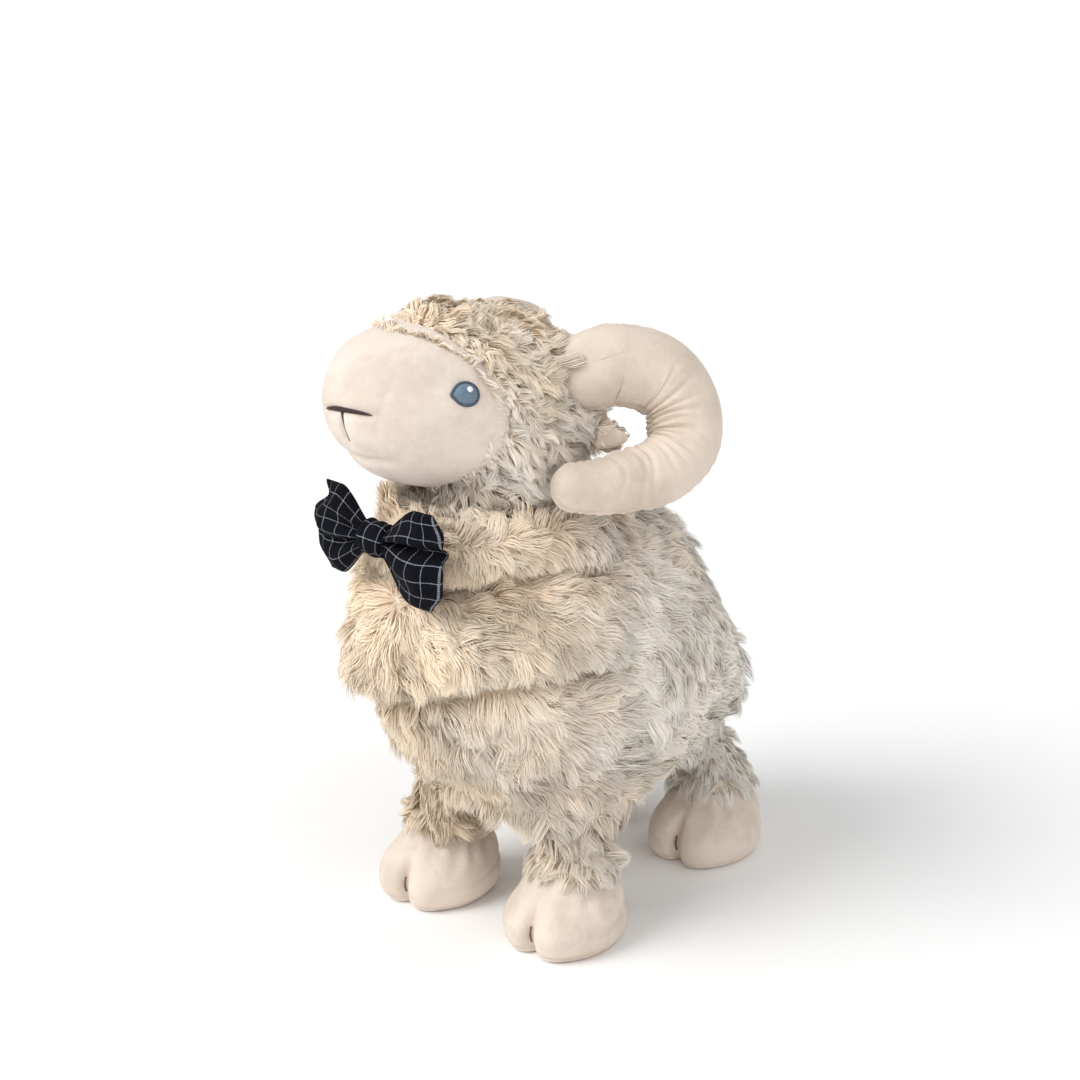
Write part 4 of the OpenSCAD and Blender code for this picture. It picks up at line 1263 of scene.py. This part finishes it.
def hoof_grid(corner):
    """A stuffed hoof with two toes, gathers under the wool and a seam round its sole, in millimetres."""
    cols = 180
    keys = [[1.0, 0.9, 0], [HOOF_H * 0.2, 1.0, 0], [HOOF_H * 0.5, 1.0, 0],
            [HOOF_H * 0.78, 0.88, LEG_SETBACK / 2],
            [HOOF_H, LEG_D / HOOF_W - 0.22, LEG_SETBACK], [HOOF_H + 6, LEG_D / HOOF_W - 0.3, LEG_SETBACK]]
    rows = resampled(keys, 54)
    foot = np.array([[0.05, 0.55, 0], [0.1, 0.72, 0], [0.25, 0.82, 0], [0.55, 0.87, 0]])
    rows = np.vstack([foot, rows])
    a = np.linspace(0, 2 * math.pi, cols, endpoint=False)[None]
    front = np.degrees(np.angle(np.exp(1j * (a + math.pi / 2))))
    z, s, back = rows[:, 0:1], rows[:, 1:2], rows[:, 2:3]
    low = 1 - smooth(HOOF_H * 0.55, HOOF_H * 0.95, z)
    notch = 1 - (0.115 * bell(front, 15) + 0.15 * bell(front, 6.5)) * (0.25 + 0.75 * low)
    notch = notch + 0.03 * bell(np.abs(front) - 30, 17) * low
    puff = 1.2 * drift(np.stack(np.broadcast_arrays(30 * np.cos(a), 30 * np.sin(a), z * 1.3), -1), 34,
                       80 + CORNERS.index(corner))
    high = smooth(HOOF_H * 0.5, HOOF_H, z)
    gathers = 0.75 * high * np.sin(13 * a + 2 * np.sin(2 * a) + CORNERS.index(corner))
    seam = -0.9 * bell(z - 2.6, 0.9) + 0.3 * bell(z - 5.0, 1.6) + 0.16 * np.sin(60 * a) * bell(z - 3.8, 1.8)
    upper = bell(z - HOOF_H * 0.62 - 3 * np.sin(a * 2 + 1), 1.8)
    lower = bell(z - HOOF_H * 0.4 - 4 * np.sin(a + 0.5), 1.6)
    crease = -1.0 * upper * smooth(0.1, 0.9, np.cos(a - 2.4))
    crease = crease - 0.9 * lower * smooth(0.3, 0.95, np.cos(a - 0.3))
    extra = (puff * 0.55 * smooth(0, 4, z) + gathers + seam + crease)
    x = (HOOF_W / 2 * s + extra) * np.cos(a) * notch
    y = back + (HOOF_L / 2 * s + extra) * np.sin(a) * notch
    grid = np.stack(np.broadcast_arrays(x, y, np.maximum(z, 0.0)), -1)
    return grid


class RAM_OT_hooves(bpy.types.Operator):
    """Hooves: stuffed plush feet with a cleft, a stitch between the toes and a flat sole"""

    bl_idname = "ram.hooves"
    bl_label = "Hooves"

    def execute(self, context):
        material = material_named("hoof_plush", plush_material, "hoof_plush", 40.0, HOOF_TINT)
        thread = context.scene.ram_plush.thread
        # the toe stitch is real; its dark brown also paints the shade in the cleft between the toes
        toe_thread_and_cleft_shade = material_named("toe_thread", stitched_material, "toe_thread", tuple(c * 7 for c in thread),
                              tuple(c * 11 for c in thread))
        for corner in CORNERS:
            grid = mounts[f"rest_{corner}"] + hoof_grid(corner) * MM
            hoof = surface(f"hoof_{corner}", grid, material)
            belongs(hoof, "torso", "short_plush", f"hoof_cover_{corner}", fill=0.7)
            self.sole(corner, material)
            self.toe_stitch(corner, toe_thread_and_cleft_shade)
        return {"FINISHED"}

    def sole(self, corner, material):
        """The flat panel under a hoof, softly edged."""
        low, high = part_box(f"sole_{corner}")
        mesh = NODES[f"sole_{corner}"].data
        middle = (np.array(low) + np.array(high)) / 2
        ring = np.array([v.co for v in mesh.vertices if v.co.z < low.z + 1e-5])
        angle = np.arctan2(ring[:, 1] - middle[1], ring[:, 0] - middle[0])
        ring = ring[np.argsort(angle)]
        step = np.linspace(0, len(ring), 120, endpoint=False)
        closed = np.vstack([ring, ring[:1]])
        edge = np.stack([np.interp(step, np.arange(len(closed)), closed[:, k]) for k in range(2)], 1)
        rows = []
        for inset, z in SOLE_EDGE:
            flat = middle[:2] + (edge - middle[:2]) * inset
            rows.append(np.column_stack([flat, np.full(len(edge), z * MM)]))
        obj = surface(f"sole_panel_{corner}", np.array(rows), material)
        belongs(obj, "torso", "short_plush", f"sole_{corner}")

    def toe_stitch(self, corner, material):
        low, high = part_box(f"toe_stitch_{corner}")
        t = np.linspace(0, 1, 60)
        x, y = (low.x + high.x) / 2, (low.y + high.y) / 2
        path = np.stack([np.full(60, x), y + 0.0018 - 0.001 * np.sin(math.pi * t), mix(low.z, high.z, t)], 1)
        radius = 0.0005 * (1 + 0.12 * np.sin(np.arange(60) * 1.7))
        obj = surface(f"toe_thread_{corner}", tube(path, radius, 10), material)
        belongs(obj, "torso", "brown_thread", f"toe_stitch_{corner}")


# ---------------------------------------------------------------- bow tie

BOW_W, BOW_H, BOW_D, KNOT_W = 80.0, 42.0, 15.0, 15.0
BOW_TIP, BOW_TURN = 4.0, -4.0


def from_bow(p):
    p = axis_turn(BOW_TIP, np.asarray(p, float), 1)
    return bow_pivot + axis_turn(BOW_TURN, p, 2) * MM


def loop_front(side, u, v):
    """The front layer of one loop: u outward from the knot, v from its lower to its upper edge."""
    grow_out = smooth(0, 0.62, u)
    half = mix(6.2, BOW_H / 2, grow_out ** 0.8)
    reach = KNOT_W / 2 - 2.5 + (BOW_W / 2 - KNOT_W / 2 + 3.5) * u
    if side > 0:
        # a deep pleat parts a short upper lobe from a long lower one
        top, low = 0.86, 1.2
        pleat, width, depth = 0.16, 0.15, 9.5
        reach = reach + u**2 * (-6.0 * smooth(0.55, 1.0, v) - 6.0 * (1 - smooth(-1.0, -0.6, v)))
    else:
        # the far loop stands up in a point at its upper corner
        top, low = 0.95, 1.08
        pleat, width, depth = -0.3, 0.16, 6.0
        reach = reach + u**2 * (1.0 * bell(v + 0.05, 0.5) - 9.0 * (1 - smooth(-1.0, -0.3, v))
                                - 8.0 * smooth(0.25, 0.7, v) + 2.5 * smooth(0.75, 1.0, v) - 2.5)
    z = np.where(v > 0, v * half * top, v * half * low)
    z = z + (2.2 if side > 0 else -0.5) * u * smooth(0.2, 1, v)
    crown = (1 - np.abs(v) ** 2.4) ** 0.62
    puff = mix(3.6, BOW_D / 2 + 0.5, smooth(0, 0.55, u)) * (1 - 0.62 * smooth(0.72, 1.0, u))
    y = -puff * crown
    y = y + depth * bell(v - pleat, width * (0.7 + 0.6 * u)) * smooth(0.03, 0.3, u) * (1 - 0.35 * u)
    fade = (1 - smooth(0.45, 0.95, u)) * smooth(0.0, 0.12, u)
    y = y + 1.3 * np.sin(v * 9 + side) * fade * crown
    y = y + 0.9 * np.sin(u * 7 + v * 3 + side) * u * crown
    return np.stack(np.broadcast_arrays(side * reach, y, z), -1)


def loop_back(side, u, v):
    front = loop_front(side, u, v)
    y = 0.62 * np.abs(np.minimum(front[..., 1], 0)) * 0.9
    y = np.maximum(y, front[..., 1] + 1.6 * (1 - smooth(0.9, 1.0, u)) * (1 - np.abs(v) ** 6))
    return np.stack([front[..., 0], np.minimum(y, BOW_D / 2), front[..., 2]], -1)


class RAM_OT_bow(bpy.types.Operator):
    """Bow tie: two pleated loops, a wrapped knot and the thread that tacks it on"""

    bl_idname = "ram.bow"
    bl_label = "Bow tie"

    def execute(self, context):
        material = material_named("bow_cloth", cloth_material)
        for name, side in SIDES.items():
            self.loop(name, side, material)
        self.knot(material)
        self.thread(context)
        return {"FINISHED"}

    def loop(self, name, side, material):
        rows, cols = 60, 90
        u = np.linspace(0, 1, rows)[:, None]
        v = np.sin(np.linspace(-math.pi / 2, math.pi / 2, cols))[None]
        front, back = loop_front(side, u, v), loop_back(side, u, v)
        # the layers meet in a rounded fold at the outer end, front to back along one length of cloth
        back = back[::-1].copy()
        fold = np.linspace(0, 1, 7)[1:-1, None, None] * math.pi
        tip_front, tip_back = front[-1], back[0]
        middle, half = (tip_front + tip_back) / 2, (tip_back - tip_front) / 2
        curve = middle - half * np.cos(fold) + np.array([side * 1.2, 0, 0]) * np.sin(fold)
        grid = np.vstack([front, curve, back])
        steps = np.linalg.norm(np.diff(grid[:, cols // 2], axis=0), axis=1)
        lengths = np.cumsum(np.concatenate([[0], steps])) * MM
        heights = BOW_H * 0.62 * MM * np.broadcast_to(v, (len(grid), cols))
        uv = np.stack([np.broadcast_to(lengths[:, None], heights.shape), heights + 0.002], -1).reshape(-1, 2)
        obj = surface(f"bow_wing_{name}", from_bow(grid), material, wrap=False, ends=False, cloth=uv)
        cloth = obj.modifiers.new("Cloth thickness", "SOLIDIFY")
        cloth.thickness = 0.0007
        cloth.offset = 0
        belongs(obj, "bow", "bow_cloth", f"bow_loop_{name}")

    def knot(self, material):
        """A band wrapped round the middle, with soft folds across it."""
        rows, cols = 40, 96
        s = np.linspace(-1, 1, rows)[:, None]
        a = np.linspace(0, 2 * math.pi, cols, endpoint=False)[None]
        half = KNOT_W / 2 + 0.6
        swell = 1 - 0.14 * np.abs(s) ** 3
        folds = 0.35 * np.sin(s * 8 + 0.9 * np.sin(a * 2)) + 0.3 * np.sin(s * 4 - a)
        y = (BOW_D / 2 * 1.0 * swell + folds) * np.cos(a)
        z = (8.3 * swell + folds) * np.sin(a)
        ends = smooth(0.86, 1.0, np.abs(s))
        x = half * s * (1 + 0.05 * np.sin(a * 3))
        grid = np.stack(np.broadcast_arrays(x, y * (1 - 0.3 * ends), z * (1 - 0.3 * ends)), -1)
        around = np.broadcast_to(a * 8.0 * MM, (rows, cols))
        uv = np.stack([np.broadcast_to(s * half * MM + 0.0015, (rows, cols)), around], -1).reshape(-1, 2)
        obj = surface("bow_band", from_bow(grid), material, cloth=np.vstack([uv, uv[:1], uv[:1]]))
        belongs(obj, "bow", "bow_cloth", "bow_knot")

    def thread(self, context):
        low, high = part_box("bow_tack_thread")
        cloth = context.scene.ram_bow.cloth
        material = material_named("tack_thread", stitched_material, "tack_thread", cloth, (0.03, 0.035, 0.06))
        t = np.linspace(0, 1, 30)
        x, z = (low.x + high.x) / 2, (low.z + high.z) / 2
        path = np.stack([np.full(30, x), mix(low.y, high.y, t), np.full(30, z)], 1)
        radius = 0.0009 * (1 + 0.12 * np.sin(np.arange(30) * 1.6))
        grid = tube(path, radius, 10, out=np.tile([0.0, 0.1, 1.0], (30, 1)))
        obj = surface("bow_tack", grid, material)
        belongs(obj, "torso", "bow_cloth", "bow_tack_thread")


# ---------------------------------------------------------------- inside


class RAM_OT_wadding(bpy.types.Operator):
    """Wadding: lumps of loose fibre fill inside the body, legs, neck, head and horns"""

    bl_idname = "ram.wadding"
    bl_label = "Wadding"

    def execute(self, context):
        material = material_named("wadding", wadding_material)
        bodies = {"body_wadding": "torso", "neck_wadding": "neck", "head_wadding": "head",
                  "horn_wadding_left": "horn_left", "horn_wadding_right": "horn_right"}
        bodies.update({f"leg_wadding_{c}": "torso" for c in CORNERS})
        for node, body in bodies.items():
            neck = node == "neck_wadding"
            inset = {"torso": 0.007, "head": 0.006, "neck": 0.0006}.get(body, 0.0012)
            if node == "body_wadding":
                inset = 0.012
            if body.startswith("horn"):
                inset = 0.003
            points, quads = skin_of([node], 0.0016 if neck else 0.003)
            points = relaxed(points, quads, 3)
            for _ in range(4):
                points = relaxed(points - normals_of(points, quads) * inset / 4, quads, 0 if neck else 1)
            if body.startswith("horn"):
                points = from_head(self.narrowed(to_head(points), 1 if body == "horn_left" else -1))
            lumps = 0.0002 if neck else 0.0008
            points = points - normals_of(points, quads) * (lumps * (1 + drift(points, 0.014, 90)))[:, None]
            if neck:
                self.collar(points, quads)
            skin = material_named("wool_backing", backing_material) if neck else material
            obj = make_object(f"{node}_fill", make_mesh(f"{node}_fill", points, quads), skin)
            belongs(obj, body, "wadding", node, fill=0.5)
        return {"FINISHED"}

    def collar(self, points, quads):
        """Short pile on the neck's upper edge, which fills the gap round the head."""
        wool = bpy.context.scene.ram_wool
        top = points[:, 2].max()
        weight = smooth(top - 0.007, top - 0.003, points[:, 2])
        roots, n = scattered(points, quads, normals_of(points, quads), wool.neck_strands, weight,
                             np.random.default_rng(95))
        groom = (roots - head_pivot) * np.array([1, 1, 0]) + np.array([0, 0, 0.02])
        pile = Pile(wool.ear_length, lift=42, droop=0.1, clump=24, pull=0.5, curl=0.1)
        grow("neck_pile", roots, n, groom, pile, np.ones(len(roots)), np.full(len(roots), 0.55), 96, "neck")

    def narrowed(self, p, side):
        """Horn filling drawn in where the horn's root curves down to the head, in the head's millimetres."""
        p = p * np.array([side, 1, 1])
        middle = horn_to_head(np.array([0, 0, CURL_R]))
        ahead = unit(middle - horn_to_head(np.array([0, 1.0, CURL_R])))
        t = (p - middle) @ ahead
        line = middle + ahead * t[:, None]
        root = 1 - smooth(20, 23, np.linalg.norm(p - line, axis=1))
        p = line + (p - line) * (1 - 0.7 * root * smooth(-14, 6, t))[:, None]
        p = p - ahead * (0.75 * root * np.maximum(t, 0))[:, None]
        return p * np.array([side, 1, 1])


# ---------------------------------------------------------------- stage

VIEW_TURN, VIEW_RISE, VIEW_ROLL = 39.0, 19.0, 0.6
VIEW_DISTANCE = 0.93
VIEW_HEIGHT = 0.165
FOCAL = 61.33
SHIFT = (-10 / 1080, 47 / 1080)
FLOOR_REACH, FLOOR_Z = 30.0, -0.0004


class RAM_OT_stage(bpy.types.Operator):
    """Stage: a white floor, soft light and the camera"""

    bl_idname = "ram.stage"
    bl_label = "Stage"

    def execute(self, context):
        scene = context.scene
        scene.view_settings.view_transform = "Standard"
        self.camera(scene)
        self.floor()
        self.sun("key_light", (50, 0, -28), 2.15, 42)
        self.sun("fill_light", (58, 0, 68), 0.6, 70)
        self.world(scene)
        return {"FINISHED"}

    def camera(self, scene):
        turn, rise, roll = (math.radians(x) for x in (VIEW_TURN, VIEW_RISE, VIEW_ROLL))
        back = Vector((math.sin(turn) * math.cos(rise), -math.cos(turn) * math.cos(rise), math.sin(rise)))
        target = Vector((stance[0], stance[1] - 0.02, VIEW_HEIGHT))
        camera = bpy.data.objects.new("camera", bpy.data.cameras.new("camera"))
        scene.collection.objects.link(camera)
        camera.data.sensor_width = 36
        camera.data.lens = FOCAL
        camera.data.shift_x, camera.data.shift_y = SHIFT
        camera.data.clip_end = 60
        camera.location = target + back * VIEW_DISTANCE
        camera.rotation_mode = "QUATERNION"
        camera.rotation_quaternion = (-back).to_track_quat("-Z", "Y") @ Quaternion((0, 0, 1), -roll)
        scene.camera = camera

    def floor(self):
        material, tree, shader = new_material("floor", 0.95)
        where = add_node(tree, "ShaderNodeTexCoord").outputs["Object"]
        grain = noise(tree, where, 3.0)
        tree.links.new(blended(tree, grain, (0.985, 0.985, 0.985, 1), (0.975, 0.975, 0.975, 1)),
                       shader.inputs["Base Color"])
        signs = ((-1, -1), (1, -1), (1, 1), (-1, 1))
        corners = [(x * FLOOR_REACH, y * FLOOR_REACH, FLOOR_Z) for x, y in signs]
        mesh = bpy.data.meshes.new("floor")
        mesh.from_pydata(corners, [], [(0, 1, 2, 3)])
        make_object("floor", mesh, material)

    def sun(self, name, turn, strength, spread_angle):
        light = bpy.data.lights.new(name, "SUN")
        light.energy = strength
        light.angle = math.radians(spread_angle)
        obj = bpy.data.objects.new(name, light)
        obj.rotation_euler = [math.radians(x) for x in turn]
        bpy.context.scene.collection.objects.link(obj)

    def world(self, scene):
        """Soft white light all round, and plain white where a view or a reflection misses the floor."""
        world = bpy.data.worlds.new("studio")
        scene.world = world
        world.use_nodes = True
        tree = world.node_tree
        light = tree.nodes["Background"]
        light.inputs["Strength"].default_value = 0.56
        light.inputs["Color"].default_value = (1, 1, 1, 1)
        white = add_node(tree, "ShaderNodeBackground", {"Color": (1, 1, 1, 1), "Strength": 1.0})
        path = add_node(tree, "ShaderNodeLightPath")
        seen = maths(tree, "MAXIMUM", path.outputs["Is Camera Ray"], path.outputs["Is Glossy Ray"])
        seen = maths(tree, "MAXIMUM", seen, path.outputs["Is Transmission Ray"])
        both = add_node(tree, "ShaderNodeMixShader", {0: seen, 1: light.outputs[0], 2: white.outputs[0]})
        tree.links.new(both.outputs[0], tree.nodes["World Output"].inputs["Surface"])


# ---------------------------------------------------------------- add-on

OPERATORS = (RAM_OT_stage, RAM_OT_body, RAM_OT_head, RAM_OT_face, RAM_OT_stitches, RAM_OT_eyes, RAM_OT_ears,
             RAM_OT_tail, RAM_OT_horns, RAM_OT_hooves, RAM_OT_bow, RAM_OT_wadding)
SETTINGS = {"ram_wool": RamWool, "ram_plush": RamPlush, "ram_bow": RamBow}


class RAM_PT_panel(bpy.types.Panel):
    """Lists the steps that build the ram"""

    bl_idname = "RAM_PT_panel"
    bl_label = "Plush Ram"
    bl_space_type = "VIEW_3D"
    bl_region_type = "UI"
    bl_category = "Plush Ram"

    def draw(self, context):
        for operator in OPERATORS:
            self.layout.operator(operator.bl_idname)


def register():
    for group in SETTINGS.values():
        bpy.utils.register_class(group)
    for name, group in SETTINGS.items():
        setattr(bpy.types.Scene, name, bpy.props.PointerProperty(type=group))
    for operator in OPERATORS:
        bpy.utils.register_class(operator)
    bpy.utils.register_class(RAM_PT_panel)


def unregister():
    bpy.utils.unregister_class(RAM_PT_panel)
    for operator in reversed(OPERATORS):
        bpy.utils.unregister_class(operator)
    for name, group in SETTINGS.items():
        delattr(bpy.types.Scene, name)
        bpy.utils.unregister_class(group)


def main():
    register()
    short_nap_group()
    pile_tint_group()
    windowpane_group()
    for operator in OPERATORS:
        step = operator.bl_idname.split(".")[1]
        getattr(bpy.ops.ram, step)()


if __name__ == "__main__":
    main()
